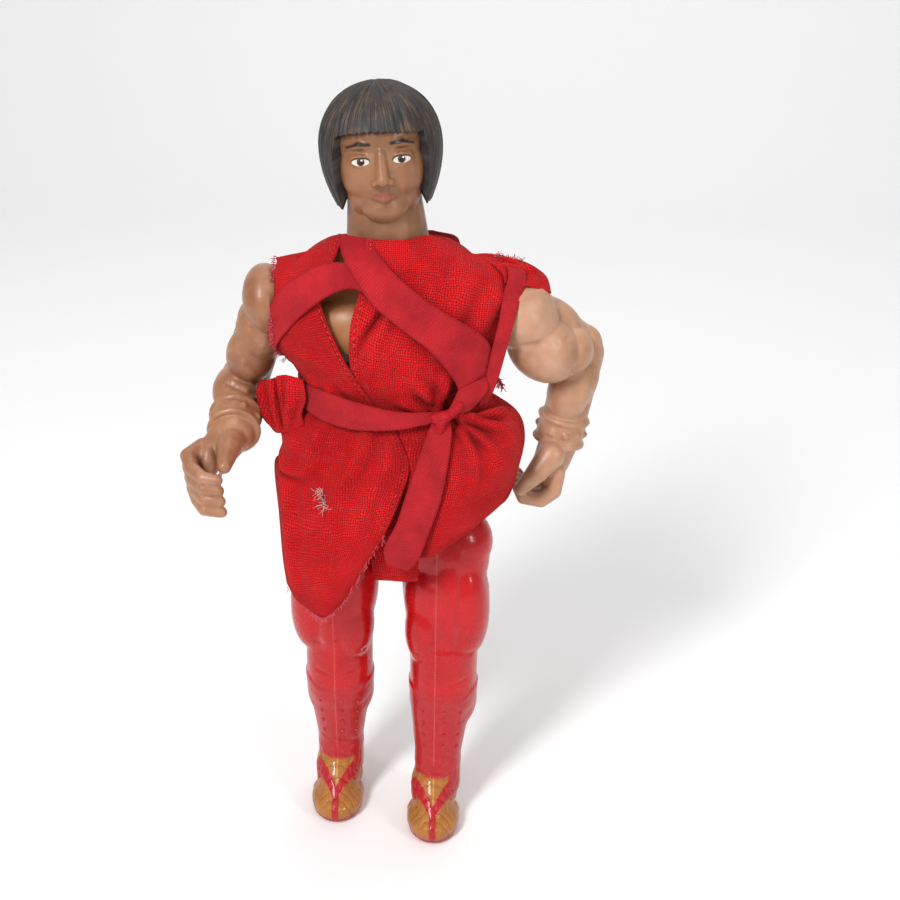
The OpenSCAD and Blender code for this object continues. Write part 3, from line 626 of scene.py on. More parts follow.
def make_left_arm():
    form = bmesh.new()
    add_taper(form, (24.8, 0, 121), (26.0, 0.2, 119.4), 5.4, 7.3)
    add_ball(form, (26.8, -0.2, 118.2), (8.0, 7.6, 6.8), (0, 36, 0))
    add_taper(form, (27, 2.6, 118.6), (38.8, 7.8, 109.6), 6.0, 4.6)
    add_ball(form, (32.6, 4.4, 114.2), (8.6, 5.4, 6.2), (0, 38, 22))
    add_ball(form, (31.4, -0.4, 111.6), (8.4, 6.2, 6.6), (0, 40, 16))
    add_ball(form, (36.6, 2.6, 110.0), (5.2, 5.2, 5.4), (0, 30, 0))
    add_ball(form, (39.8, 7.6, 109.8), 4.2)
    add_taper(form, (39.4, 7.2, 108), (36.4, 6.4, 91), 5.0, 4.6)
    add_ball(form, (38.6, 6.4, 103.4), (5.0, 5.6, 8.0), (0, 8, 0))
    add_ball(form, (37.4, 4.6, 100.4), (4.6, 4.4, 7.0), (0, 10, 0))
    add_band(form, (36.7, 6.2, 94.0), (35.7, 5.9, 89.0), 5.0, (10, 45, 120, 200, 240, 300, 335))
    add_taper(form, (36.0, 6.0, 89), (34.6, 5.4, 84.6), 4.2, 3.9)
    add_ball(form, (34.8, 5.0, 83.0), (2.8, 5.4, 4.6), (0, 14, 0))
    for k in range(4):
        y = 0.6 + 2.5 * k
        add_chain(form, [(35.6, y + 0.4, 83.4), (35.0, y, 79.2), (32.4, y, 77.0), (28.6, y, 77.6),
                         (27.4, y, 80.0)],
                  [1.7, 1.62, 1.5, 1.4, 1.25])
    add_chain(form, [(34.0, 1.0, 87.4), (31.4, -1.0, 84.6), (28.0, -1.6, 80.8)], [3.0, 2.4, 1.5])
    piece = mould(form, "left_arm_moulding", 0.3, 6, 0.5)
    co, out = skin_of(piece)
    co = crease(co, out, [(24, -7, 112.6), (29, -6.8, 114.6), (33.6, -4.6, 114.4), (36.6, -3, 109.0),
                          (37.6, -2, 106.4)], 0.6, 0.6)
    co = crease(co, out, [(33.6, -4.6, 114.2), (38.0, -2.6, 115.4), (41.6, 2.0, 113.6)], 0.5, 0.25)
    co = crease(co, out, [(41.6, 2.4, 107.6), (38.6, 0.2, 106.4), (35.6, -2, 104.2)], 0.6, 0.45)
    co = crease(co, out, [(28, -2.0, 125.6), (33, 0.8, 120.4), (41.2, 4.6, 113.4)], 0.28, -0.16)
    co = crease(co, out, [(39.5, 1.2, 94.6), (41.5, 3.4, 97.5)], 0.5, 0.4)
    co = crease(co, out, [(33.5, -1.8, 80.4), (30.2, -2.6, 78.0)], 0.4, 0.3)
    set_skin(piece, co)
    return piece


# The left arm gets paler tones than the right arm of the same plastic: painted light, standing in for the
# brighter light falling on that side.
for make, node, tones in ((make_right_arm, "right_arm", (ARM_TAN, ARM_DEEP, ARM_PALE)),
                          (make_left_arm, "left_arm", (ARM_PALE, ARM_TAN, (0.56, 0.33, 0.22)))):
    arm = make()
    arm.data.materials.append(arm_finish(f"{node}_tan", *tones))
    set_in_place(arm, node, node)
peg_finish = moulded_finish("peg_tan", ARM_TAN, ARM_DEEP, 0.4)
for node in ("right_shoulder_peg", "left_shoulder_peg"):
    dress(node, peg_finish)


# ---- Head and hair ------------------------------------------------------------------------------
# The head is one soft vinyl piece, pushed over the neck post, with its brows, eyes and lips painted
# on. The bowl-cut hair is moulded with it and sprayed dark; the paint is rubbed off its high spots.

HEAD_LEAN, HEAD_TURN = -4.5, 4.0
HEAD_SEAT = NECK_Z + 0.3
VINYL = (0.30, 0.135, 0.058)
VINYL_DEEP = (0.20, 0.082, 0.034)
HAIR_DARK = (0.020, 0.016, 0.016)
HAIR_GREY = (0.060, 0.050, 0.048)
EYE_X, EYE_Z = 3.9, 151.6


def lean_head(piece):
    lean = Matrix.Rotation(math.radians(HEAD_LEAN), 4, "Y") @ Matrix.Rotation(math.radians(HEAD_TURN), 4, "Z")
    piece.data.transform(Matrix.Translation((0, 0, HEAD_SEAT)) @ lean
                         @ Matrix.Translation((0, 0, -HEAD_SEAT)))


def head_place(tree):
    return split(tree, place_mm(tree, (0, HEAD_LEAN, HEAD_TURN), (0, 0, HEAD_SEAT)))


def vinyl_finish():
    finish, tree, shader = start_finish("head_vinyl", 0.46, Subsurface_Weight=0.12, Coat_Weight=0.08,
                                        Subsurface_Radius=(1.0, 0.4, 0.2), Subsurface_Scale=0.003)
    place = place_mm(tree)
    x, y, up = head_place(tree)
    z = calc(tree, "ADD", up, HEAD_SEAT)
    tone = blend_paint(tree, mottle(tree, place, 0.14, 3.0), VINYL, VINYL_DEEP)
    blush = oval_mask(tree, calc(tree, "ABSOLUTE", x), z, (5.4, 147.0), (3.2, 2.6), 0.8)
    tone = blend_paint(tree, calc(tree, "MULTIPLY", blush, 0.25), tone, (0.36, 0.13, 0.06))
    # Painted shade: the face darkens in its hollows, where ambient occlusion is low.
    crevice_shade = put(tree, "ShaderNodeAmbientOcclusion", {"Distance": 0.002}, samples=6).outputs["AO"]
    tone = blend_paint(tree, calc(tree, "MULTIPLY", step(tree, crevice_shade, 0.8, 0.3), 0.7), tone,
                       (0.10, 0.04, 0.016))
    front = step(tree, y, -5.6, -6.2)
    side_x = calc(tree, "ABSOLUTE", x)
    # Brows, eyes and lips, each a painted shape
    brow = line_mask(tree, side_x, z, (2.1, EYE_Z + 3.1), (4.3, EYE_Z + 3.3), 0.34, 0.2)
    brow = calc(tree, "MAXIMUM", brow, line_mask(tree, side_x, z, (4.3, EYE_Z + 3.3), (6.3, EYE_Z + 2.5),
                                                 0.26, 0.2))
    white = oval_mask(tree, side_x, z, (EYE_X, EYE_Z - 0.05), (1.65, 0.66), 0.12)
    rim = calc(tree, "SUBTRACT", oval_mask(tree, side_x, z, (EYE_X, EYE_Z + 0.12), (1.85, 0.82), 0.12), white)
    iris = oval_mask(tree, side_x, z, (EYE_X - 0.05, EYE_Z + 0.02), (0.74, 0.74), 0.15)
    pupil = oval_mask(tree, side_x, z, (EYE_X - 0.05, EYE_Z + 0.02), (0.4, 0.4), 0.2)
    # A painted highlight dot in each eye.
    glint = oval_mask(tree, x, z, (EYE_X + 0.25, EYE_Z + 0.36), (0.2, 0.2), 0.3)
    glint = calc(tree, "MAXIMUM", glint, oval_mask(tree, x, z, (-EYE_X + 0.25, EYE_Z + 0.36), (0.2, 0.2),
                                                   0.3))
    lips = oval_mask(tree, x, z, (0, 144.8), (2.35, 0.7), 0.25)
    for mask, paint in ((brow, (0.012, 0.008, 0.006)), (rim, (0.02, 0.012, 0.009)),
                        (white, (0.62, 0.58, 0.52)),
                        (calc(tree, "MULTIPLY", iris, white), (0.055, 0.022, 0.012)),
                        (pupil, (0.004, 0.004, 0.004)), (glint, (0.8, 0.8, 0.8)),
                        (lips, (0.27, 0.072, 0.045))):
        tone = blend_paint(tree, calc(tree, "MULTIPLY", mask, front), tone, paint)
    tree.links.new(tone, shader.inputs["Base Color"])
    wet = calc(tree, "MULTIPLY", white, front)
    tree.links.new(calc(tree, "MULTIPLY_ADD", wet, -0.26, 0.46), shader.inputs["Roughness"])
    pores = put(tree, "ShaderNodeTexNoise", {"Vector": place, "Scale": 2.4, "Detail": 5.0}).outputs[0]
    bump(tree, shader, pores, 0.00007, 0.35)
    return finish


def make_head():
    form = bmesh.new()
    add_ball(form, (0, 1.4, 154.4), (10.0, 11.2, 9.2))
    add_ball(form, (0, -2.4, 149.4), (8.6, 8.0, 9.0))
    add_ball(form, (0, -2.0, 144.4), (7.2, 7.0, 5.4))
    add_ball(form, (0, -6.0, 142.0), (4.4, 3.6, 3.2))
    add_ball(form, (0, 3.4, 147), (8.6, 8.0, 8.0))
    for s in (-1, 1):
        add_ball(form, (s * 3.5, -4.4, 147.8), (4.3, 4.2, 4.8))
        add_ball(form, (s * 2.9, -3.0, 144.0), (4.3, 4.6, 4.4))
        add_ball(form, (s * EYE_X, -7.55, EYE_Z), (2.3, 2.0, 1.75))
        add_chain(form, [(s * 2.4, -8.9, EYE_Z + 2.7), (s * 3.9, -9.0, EYE_Z + 2.9),
                         (s * 6.4, -7.0, EYE_Z + 2.3)],
                  [0.6, 0.7, 0.6])
        add_chain(form, [(s * 2.2, -9.25, EYE_Z + 0.3), (s * 3.9, -9.75, EYE_Z + 1.15),
                         (s * 5.7, -8.7, EYE_Z + 0.5)],
                  [0.32, 0.42, 0.34])
        add_chain(form, [(s * 2.3, -9.2, EYE_Z - 0.5), (s * 3.9, -9.45, EYE_Z - 1.05),
                         (s * 5.6, -8.7, EYE_Z - 0.4)],
                  [0.3, 0.36, 0.3])
        add_ball(form, (s * 1.35, -10.5, 147.5), (1.0, 1.25, 0.85))
        add_ball(form, (s * 9.2, 0.8, 149.4), (1.1, 1.9, 2.9))
    add_taper(form, (0, -9.5, 152.8), (0, -11.0, 148.3), 1.05, 1.25)
    add_ball(form, (0, -11.3, 148.0), (1.25, 1.2, 1.05))
    add_chain(form, [(-2.5, -8.5, 144.85), (-1.0, -9.5, 145.45), (0, -9.45, 145.3), (1.0, -9.5, 145.45),
                     (2.5, -8.5, 144.85)], [0.4, 0.62, 0.55, 0.62, 0.4])
    add_chain(form, [(-2.2, -8.6, 144.5), (0, -9.45, 144.05), (2.2, -8.6, 144.5)], [0.4, 0.78, 0.4])
    add_taper(form, (0, 0.6, 133.3), (0, 0.9, 144), 8.2, 7.1)
    add_ball(form, (0, 0.5, 134.3), (8.0, 7.8, 1.2))
    piece = mould(form, "head_moulding", 0.24, 12, 0.5)
    co, out = skin_of(piece)
    co = crease(co, out, [(-2.7, -9.2, 144.85), (-1.0, -10.4, 144.8), (0, -10.4, 144.7), (1.0, -10.4, 144.8),
                          (2.7, -9.2, 144.85)], 0.26, 0.4)
    co = crease(co, out, [(0, -11, 147.0), (0, -10.2, 146.1)], 0.45, 0.22)
    for s in (-1, 1):
        co = crease(co, out, [(s * 0.75, -11.6, 147.05), (s * 1.2, -11.2, 147.0)], 0.4, 0.45)
        co = crease(co, out, [(s * 2.6, -10, 148.2), (s * 3.3, -9.6, 146.6), (s * 3.3, -9.0, 145.4)], 0.8,
                    0.08)
    co[:, 2] = np.maximum(co[:, 2], HEAD_SEAT)
    set_skin(piece, co)
    lean_head(piece)
    co, _ = skin_of(piece)
    co[:, 2] = np.maximum(co[:, 2], HEAD_SEAT)
    set_skin(piece, co)
    return piece


HAIR_COLUMNS, HAIR_ROWS = 320, 110


def make_hair():
    """A bowl of hair from one sphere: its rows run from the crown down to the cut edge and back inside."""
    form = bmesh.new()
    bmesh.ops.create_uvsphere(form, u_segments=HAIR_COLUMNS, v_segments=HAIR_ROWS, radius=1)
    piece = new_piece(form, "hair_moulding")
    unit, _ = skin_of(piece)
    around = np.arctan2(unit[:, 0], -unit[:, 1])
    down = np.arccos(np.clip(unit[:, 2], -1, 1)) / math.pi
    draw = np.random.default_rng(11)
    locks = [(n, draw.uniform(0, math.tau), draw.uniform(-1.2, 1.2)) for n in (9, 14, 23, 37, 52, 71, 90)]
    lock_size = [0.30, 0.26, 0.24, 0.22, 0.2, 0.17, 0.13]
    t = np.clip(down / 0.80, 0, 1)
    comb = around + 0.10 * np.sin(2.2 * around + 0.6) + 0.22 * t * np.sin(around)
    relief = sum(size * np.sin(n * comb + phase + sway * 2.2 * t) for (n, phase, sway),
                 size in zip(locks, lock_size))
    relief = relief + 0.22 * np.abs(np.sin(29 * comb + 1.5 * np.sin(4 * around) + 2 * t)) - 0.2
    # Height of the cut edge: the fringe in front, falling to the jaw at the sides, lower at the nape
    front = np.abs(around)
    fringe = 156.6 + 0.5 * np.cos(3.2 * around + 0.5)
    side = 141.4 - 0.6 * ramp(front, 1.4, 2.6)
    fall = ramp(front, 0.80, 1.06)
    edge = fringe * (1 - fall) + side * fall + 0.14 * np.sin(37 * comb + 0.7) + 0.10 * np.sin(61 * comb)
    top = 164.6
    # Outside: an egg down to its widest height, then a nearly straight fall
    wide_x, wide_front, wide_back, wide_z = 11.9, 11.4, 12.9, 152.2
    depth = np.where(unit[:, 1] < 0, wide_front, wide_back)
    flat = np.stack([np.sin(around) * wide_x, -np.cos(around) * depth], 1)
    height = top - (top - edge) * (1 - np.cos(t * math.pi * 0.5)) ** 0.92
    drop = np.clip((height - wide_z) / (top - wide_z), -1.5, 1)
    reach = np.where(drop > 0, np.sqrt(np.clip(1 - np.abs(drop) ** 2.15, 0, 1)),
                     1 - 0.30 * np.abs(drop) ** 1.9)
    swell = np.minimum(1, t * 3)
    outer = flat * (reach + 0.020 * relief * swell)[:, None]
    co = np.column_stack([outer[:, 0], outer[:, 1] + 0.2, height + 0.25 * relief * (1 - t) * swell])
    # Inside: the last rows turn under the cut edge and run up into the head
    under = ramp(down, 0.80, 0.86)
    rise = ramp(down, 0.86, 1.0)
    inner = flat * (np.where(drop > 0, reach, 1) * 0.76)[:, None]
    tucked = np.column_stack([inner[:, 0] * (1 - rise), inner[:, 1] * (1 - rise) + 0.2,
                              edge + 0.3 + rise * (158 - edge)])
    keep = (down <= 0.80)
    co = np.where(keep[:, None], co, co * (1 - under)[:, None] + tucked * under[:, None])
    set_skin(piece, co)
    lean_head(piece)
    return piece


def hair_finish():
    finish, tree, shader = start_finish("hair_paint", 0.5, Specular_IOR_Level=0.3)
    place = place_mm(tree)
    x, y, up = head_place(tree)
    around = calc(tree, "ARCTAN2", x, calc(tree, "MULTIPLY", y, -1.0))
    strand_place = put(tree, "ShaderNodeCombineXYZ",
                       {0: calc(tree, "MULTIPLY", around, 34.0),
                        1: calc(tree, "MULTIPLY", up, 0.10)}).outputs[0]
    strands = put(tree, "ShaderNodeTexNoise", {"Vector": strand_place, "Scale": 1.0, "Detail": 4.0,
                                               "Roughness": 0.7}).outputs[0]
    tone = blend_paint(tree, step(tree, strands, 0.35, 0.68), HAIR_DARK, HAIR_GREY)
    worn = calc(tree, "MULTIPLY", mottle(tree, place, 0.34, 5.0, 0.62, 0.46, 0.60),
                step(tree, up, 19.5, 23.5))
    worn = calc(tree, "MULTIPLY", worn, step(tree, y, 4.0, -5.0))
    worn = calc(tree, "MULTIPLY", worn, step(tree, strands, 0.42, 0.6))
    tone = blend_paint(tree, calc(tree, "MULTIPLY", worn, 0.8), tone, (0.15, 0.090, 0.052))
    scuff = step(tree, put(tree, "ShaderNodeTexNoise",
                           {"Vector": place, "Scale": 1.4, "Detail": 3.0}).outputs[0], 0.66, 0.74)
    tone = blend_paint(tree, calc(tree, "MULTIPLY", scuff, 0.4), tone, (0.17, 0.11, 0.07))
    tree.links.new(tone, shader.inputs["Base Color"])
    tree.links.new(calc(tree, "MULTIPLY_ADD", strands, 0.25, 0.36), shader.inputs["Roughness"])
    bump(tree, shader, strands, 0.00022, 0.55)
    return finish


head = make_head()
head.data.materials.append(vinyl_finish())
set_in_place(head, "head", "head")
hair = make_hair()
hair.data.materials.append(hair_finish())
set_in_place(hair, "head")


# ---- Wrap jacket --------------------------------------------------------------------------------
# Thin plain-weave red cotton: a right and a left front that lap over each other, a back, and skirt
# flaps in one with them. The armholes are cut and left raw, so they fray; the other edges are hemmed.

COTTON = (0.70, 0.010, 0.014)
COTTON_DEEP = (0.50, 0.004, 0.007)
COTTON_PALE = (0.78, 0.055, 0.055)
COTTON_THICK = 0.42
THREAD_PITCH = 0.47
torso_rows = np.array([[WAIST_Z, 14.4, 9.4], [104, 14.8, 9.6], [110, 16.6, 10.8], [116, 18, 12],
                       [121, 17.6, 12],
                       [125, 16.4, 10.8], [128.5, 13.6, 9], [131, 9.6, 7.8], [133, 8, 7.6], [138, 7.6, 7.4]])


def torso_reach(co):
    """How far out each point is, where 1 is the torso's own surface."""
    rx = np.interp(co[:, 2], torso_rows[:, 0], torso_rows[:, 1])
    ry = np.interp(co[:, 2], torso_rows[:, 0], torso_rows[:, 2])
    return (np.abs(co[:, 0] / rx) ** 2.5 + np.abs(co[:, 1] / ry) ** 2.5) ** 0.4, np.minimum(rx, ry)


def keep_off_torso(co, gap):
    reach, radius = torso_reach(co)
    need = 1 + gap / radius
    grow = np.where((reach < need) & (co[:, 2] > WAIST_Z - 4), need / np.maximum(reach, 1e-3), 1)
    return np.column_stack([co[:, 0] * grow, co[:, 1] * grow, co[:, 2]])


def curve_through(points, t):
    """Points at t from 0 to 1 on a smooth line through the given ones."""
    p = np.asarray(points, float)
    n = len(p) - 1
    u = np.clip(t * n, 0, n - 1e-9)
    i = u.astype(int)
    f = (u - i).reshape((-1,) + (1,) * (p.ndim - 1))
    p0, p1, p2, p3 = p[np.maximum(i - 1, 0)], p[i], p[i + 1], p[np.minimum(i + 2, n)]
    m1 = np.where((i > 0).reshape(f.shape), (p2 - p0) / 2, p2 - p1)
    m2 = np.where((i < n - 1).reshape(f.shape), (p3 - p1) / 2, p2 - p1)
    return ((2 * f ** 3 - 3 * f ** 2 + 1) * p1 + (f ** 3 - 2 * f ** 2 + f) * m1
            + (3 * f ** 2 - 2 * f ** 3) * p2 + (f ** 3 - f ** 2) * m2)


def spread_cloth(name, net, across, along):
    """A cloth laid through a net of points; its UV map is its own size in millimetres, for the weave."""
    form = bmesh.new()
    bmesh.ops.create_grid(form, x_segments=across, y_segments=along, size=1)
    form.verts.ensure_lookup_table()
    flat = np.array([v.co[:] for v in form.verts])
    s, t = (flat[:, 0] + 1) / 2, (1 - flat[:, 1]) / 2
    net = np.asarray(net, float)
    rows = curve_through(net, t)
    co = np.empty((len(s), 3))
    for k in range(len(s)):
        co[k] = curve_through(rows[k], s[k:k + 1])[0]
    width = np.linalg.norm(np.diff(net, axis=1), axis=2).sum(1).max() * 1.04
    height = np.linalg.norm(np.diff(net, axis=0), axis=2).sum(0).max() * 1.04
    layer = form.loops.layers.uv.new("cut")
    order = {v: k for k, v in enumerate(form.verts)}
    for face in form.faces:
        for loop in face.loops:
            k = order[loop.vert]
            loop[layer].uv = (s[k] * width, t[k] * height)
    piece = new_piece(form, name)
    set_skin(piece, co)
    if sum(p.normal.y * p.area for p in piece.data.polygons) > 0:
        piece.data.flip_normals()
    return piece, s, t, (width, height)


def fray(s, t, side, size, seed):
    """Uneven edge: moves of 0 to size near the given side of a cloth."""
    draw = np.random.default_rng(seed)
    along = t if side in ("s0", "s1") else s
    ragged = sum(draw.uniform(0.3, 1) * np.sin(n * math.tau * along + draw.uniform(0, 6.3))
                 for n in (5, 9, 17, 26, 41))
    return size * ragged / 2.2


def folds(s, t, lines):
    """Sum of soft pleats, each from one point of the cloth to another with a width and a height."""
    lift = np.zeros(len(s))
    for (s0, t0), (s1, t1), width, height in lines:
        d = np.array([s1 - s0, t1 - t0])
        run = np.clip(((s - s0) * d[0] + (t - t0) * d[1]) / (d @ d), 0, 1)
        far = np.hypot(s - s0 - run * d[0], t - t0 - run * d[1])
        fade = np.sin(math.pi * np.clip(run * 0.9 + 0.1, 0, 1)) ** 0.6
        lift += height * 1.5 * (np.exp(-((far / width) ** 2)) - 0.6
                                * np.exp(-(((far - 1.7 * width) / width) ** 2))) * fade
    return lift


def cloth_finish(name, colour=COTTON, deep=COTTON_DEEP, pale=COTTON_PALE):
    """Plain weave on the piece's own cut coordinates: threads over and under, with slubs and pale wear."""
    finish, tree, shader = start_finish(name, 0.9, Sheen_Weight=0.10, Sheen_Roughness=0.5,
                                        Sheen_Tint=(1, 0.3, 0.25, 1), Specular_IOR_Level=0.15)
    cut = put(tree, "ShaderNodeUVMap", uv_map="cut").outputs[0]
    place = place_mm(tree)
    wander = put(tree, "ShaderNodeTexNoise", {"Vector": place, "Scale": 0.35, "Detail": 2.0}).outputs[1]
    wavy = put(tree, "ShaderNodeVectorMath", {0: wander, 1: (0.5, 0.5, 0.5)}, operation="SUBTRACT").outputs[0]
    wavy = put(tree, "ShaderNodeVectorMath", {0: wavy, "Scale": 1.2}, operation="SCALE").outputs[0]
    cut = put(tree, "ShaderNodeVectorMath", {0: cut, 1: wavy}, operation="ADD").outputs[0]
    u, v, _ = split(tree, cut)
    turn = math.tau / (2 * THREAD_PITCH)
    warp = calc(tree, "SINE", calc(tree, "MULTIPLY", u, turn))
    weft = calc(tree, "SINE", calc(tree, "MULTIPLY", v, turn))
    over = calc(tree, "MULTIPLY", warp, weft)
    round_warp = calc(tree, "ABSOLUTE", warp)
    round_weft = calc(tree, "ABSOLUTE", weft)
    thread = calc(tree, "MULTIPLY", calc(tree, "POWER", round_warp, 0.5),
                  calc(tree, "POWER", round_weft, 0.5))
    long_u = put(tree, "ShaderNodeCombineXYZ", {0: calc(tree, "MULTIPLY", u, 3.3),
                                                1: calc(tree, "MULTIPLY", v, 0.22)}).outputs[0]
    long_v = put(tree, "ShaderNodeCombineXYZ", {0: calc(tree, "MULTIPLY", u, 0.22),
                                                1: calc(tree, "MULTIPLY", v, 3.3)}).outputs[0]
    slub_u = put(tree, "ShaderNodeTexNoise", {"Vector": long_u, "Scale": 1.0, "Detail": 2.0}).outputs[0]
    slub_v = put(tree, "ShaderNodeTexNoise", {"Vector": long_v, "Scale": 1.0, "Detail": 2.0}).outputs[0]
    slub = calc(tree, "ADD", slub_u, slub_v)
    tone = blend_paint(tree, mottle(tree, place, 0.10, 3.0), colour, deep)
    tone = blend_paint(tree, calc(tree, "MULTIPLY", step(tree, slub, 1.0, 1.45), 0.5), tone, pale)
    tone = blend_paint(tree, step(tree, thread, 0.75, 0.15), tone, tuple(0.42 * c for c in deep))
    fuzz = mottle(tree, place, 1.1, 6.0, 0.72, 0.56, 0.75)
    tone = blend_paint(tree, calc(tree, "MULTIPLY", fuzz, 0.22), tone, pale)
    # Machine stitches in a dashed line inside the hemmed edges, and painted shade darkening the folds where
    # ambient occlusion is low
    hem = put(tree, "ShaderNodeAttribute", attribute_name="hem").outputs["Fac"]
    line = calc(tree, "MULTIPLY", step(tree, hem, 0.95, 1.10), step(tree, hem, 1.40, 1.25))
    dash = step(tree, calc(tree, "SINE", calc(tree, "MULTIPLY", calc(tree, "ADD", u, v), 5.6)), -0.5, 0.1)
    stitch = calc(tree, "MULTIPLY", line, dash)
    tone = blend_paint(tree, calc(tree, "MULTIPLY", line, 0.7), tone, tuple(0.45 * c for c in deep))
    tone = blend_paint(tree, calc(tree, "MULTIPLY", stitch, 0.8), tone, pale)
    shade = put(tree, "ShaderNodeAmbientOcclusion", {"Distance": 0.004}, samples=6).outputs["AO"]
    tone = blend_paint(tree, calc(tree, "MULTIPLY", step(tree, shade, 0.95, 0.35), 0.6), tone,
                       tuple(0.4 * c for c in deep))
    tree.links.new(tone, shader.inputs["Base Color"])
    height = calc(tree, "MULTIPLY_ADD", over, 0.35, thread)
    height = calc(tree, "MULTIPLY_ADD", slub, 0.25, height)
    height = calc(tree, "MULTIPLY_ADD", stitch, 1.5, height)
    bump(tree, shader, height, 0.00015, 1.0)
    return finish


def finish_cloth(piece, body, finish, *nodes, thick=COTTON_THICK, slot="cotton"):
    piece.data.transform(Matrix.Translation(middle) @ Matrix.Scale(MM, 4))
    piece.data.polygons.foreach_set("use_smooth", [True] * len(piece.data.polygons))
    wall = piece.modifiers.new("thickness", "SOLIDIFY")
    wall.thickness = thick * MM
    wall.offset = 0
    settle(piece)
    piece.data.materials.append(finish)
    if body:
        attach(piece, body)
    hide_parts(*nodes)
    return piece


def flat_area(piece, size):
    """The cloth's own area in square metres, before it gets its thickness."""
    return min(sum(p.area for p in piece.data.polygons), size[0] * size[1]) * MM * MM


right_front_net = [
    [(-8.6, -2.4, 134.6), (-15.4, -1.0, 131.4), (-19.2, 0.2, 130.1), (-22.2, 0.6, 129.3)],
    [(-10.6, -8.2, 130.2), (-14.8, -7.8, 127.8), (-18.6, -6.6, 126.2), (-22.2, -4.6, 125.2)],
    [(-12.6, -10.8, 124.8), (-15.9, -10.8, 122.8), (-19.4, -10.0, 120.6), (-22.2, -8.2, 118.6)],
    [(-9.6, -12.8, 116.7), (-13.5, -12.8, 116.2), (-17.8, -11.6, 115.6), (-21.6, -8.8, 114.4)],
    [(-6.2, -13.2, 110.0), (-10.7, -12.9, 109.7), (-15.9, -10.8, 109.4), (-19.6, -4.4, 109.4)],
    [(-1.6, -12.8, 103.0), (-6.8, -12.6, 103.6), (-12.9, -9.9, 104.2), (-16.2, -0.8, 104.6)],
    [(1.0, -12.0, 99.6), (-5.6, -11.9, 99.6), (-12.4, -9.6, 99.6), (-15.6, -0.6, 99.6)]]
left_front_net = [
    [(-3.8, -8.3, 136.2), (3.1, -8.5, 136.0), (8.6, -5.2, 136.0), (15.8, -2.2, 132.0), (22.6, -0.6, 130.0)],
    [(-4.0, -10.6, 131.6), (2.9, -11.2, 131.0), (9.5, -9.6, 130.6), (16.8, -7.4, 128.6), (24.0, -4.4, 125.8)],
    [(-4.7, -12.6, 127.4), (2.1, -13.3, 124.8), (8.8, -13.2, 123.9), (16.2, -11.6, 122.3),
     (22.8, -7.4, 121.6)],
    [(-6.6, -13.2, 119.5), (0.2, -14.4, 117.0), (7.9, -14.6, 116.2), (15.2, -12.6, 115.6),
     (21.4, -8.4, 116.4)],
    [(-6.6, -12.6, 109.9), (0.2, -13.6, 108.8), (8.0, -14.4, 108.6), (14.8, -12.4, 109.0),
     (19.8, -6.4, 109.8)],
    [(-4.2, -12.2, 103.6), (1.1, -12.8, 103.0), (8.0, -13.0, 103.2), (13.0, -10.6, 103.6),
     (16.8, -1.2, 104.6)],
    [(-3.0, -11.4, 99.4), (1.6, -11.8, 99.4), (8.0, -11.6, 99.4), (12.6, -9.6, 99.4), (16.0, -0.8, 99.4)]]


def back_net():
    rows = []
    for z, rx, ry, rise in ((133.6, 9.4, 8.8, 0), (131.4, 14.8, 9.6, 0.2), (127.6, 20.6, 10.6, 0.4),
                            (121, 20.0, 13.0, 0.2),
                            (115.6, 19.6, 13.2, 0), (109.6, 19.8, 14.4, 0), (104.4, 17.8, 13.0, 0),
                            (99.4, 16.4, 11.2, 0)):
        row = []
        for k in range(9):
            a = math.pi * k / 8
            c, s = math.cos(a), math.sin(a)
            dip = 1.0 * (1 - s) if z > 133 else 0
            row.append((math.copysign(abs(c) ** 0.8, c) * rx,
                        abs(s) ** 0.8 * ry - (1.4 if z > 126 else 0) * (1 - s), z - dip))
        rows.append(row)
    return rows


def place_flat(cloth, gap):
    """Keeps a cloth off the torso."""
    co, _ = skin_of(cloth)
    set_skin(cloth, keep_off_torso(co, gap))


def mark_hems(cloth, s, t, size, sides):
    """Writes each point's distance in millimetres from the nearest hemmed edge, for the stitch line."""
    edges = {"s0": s * size[0], "s1": (1 - s) * size[0], "t1": (1 - t) * size[1]}
    far = np.min([edges[side] for side in sides], axis=0)
    hem = cloth.data.attributes.new("hem", "FLOAT", "POINT")
    hem.data.foreach_set("value", far.astype(np.float32))


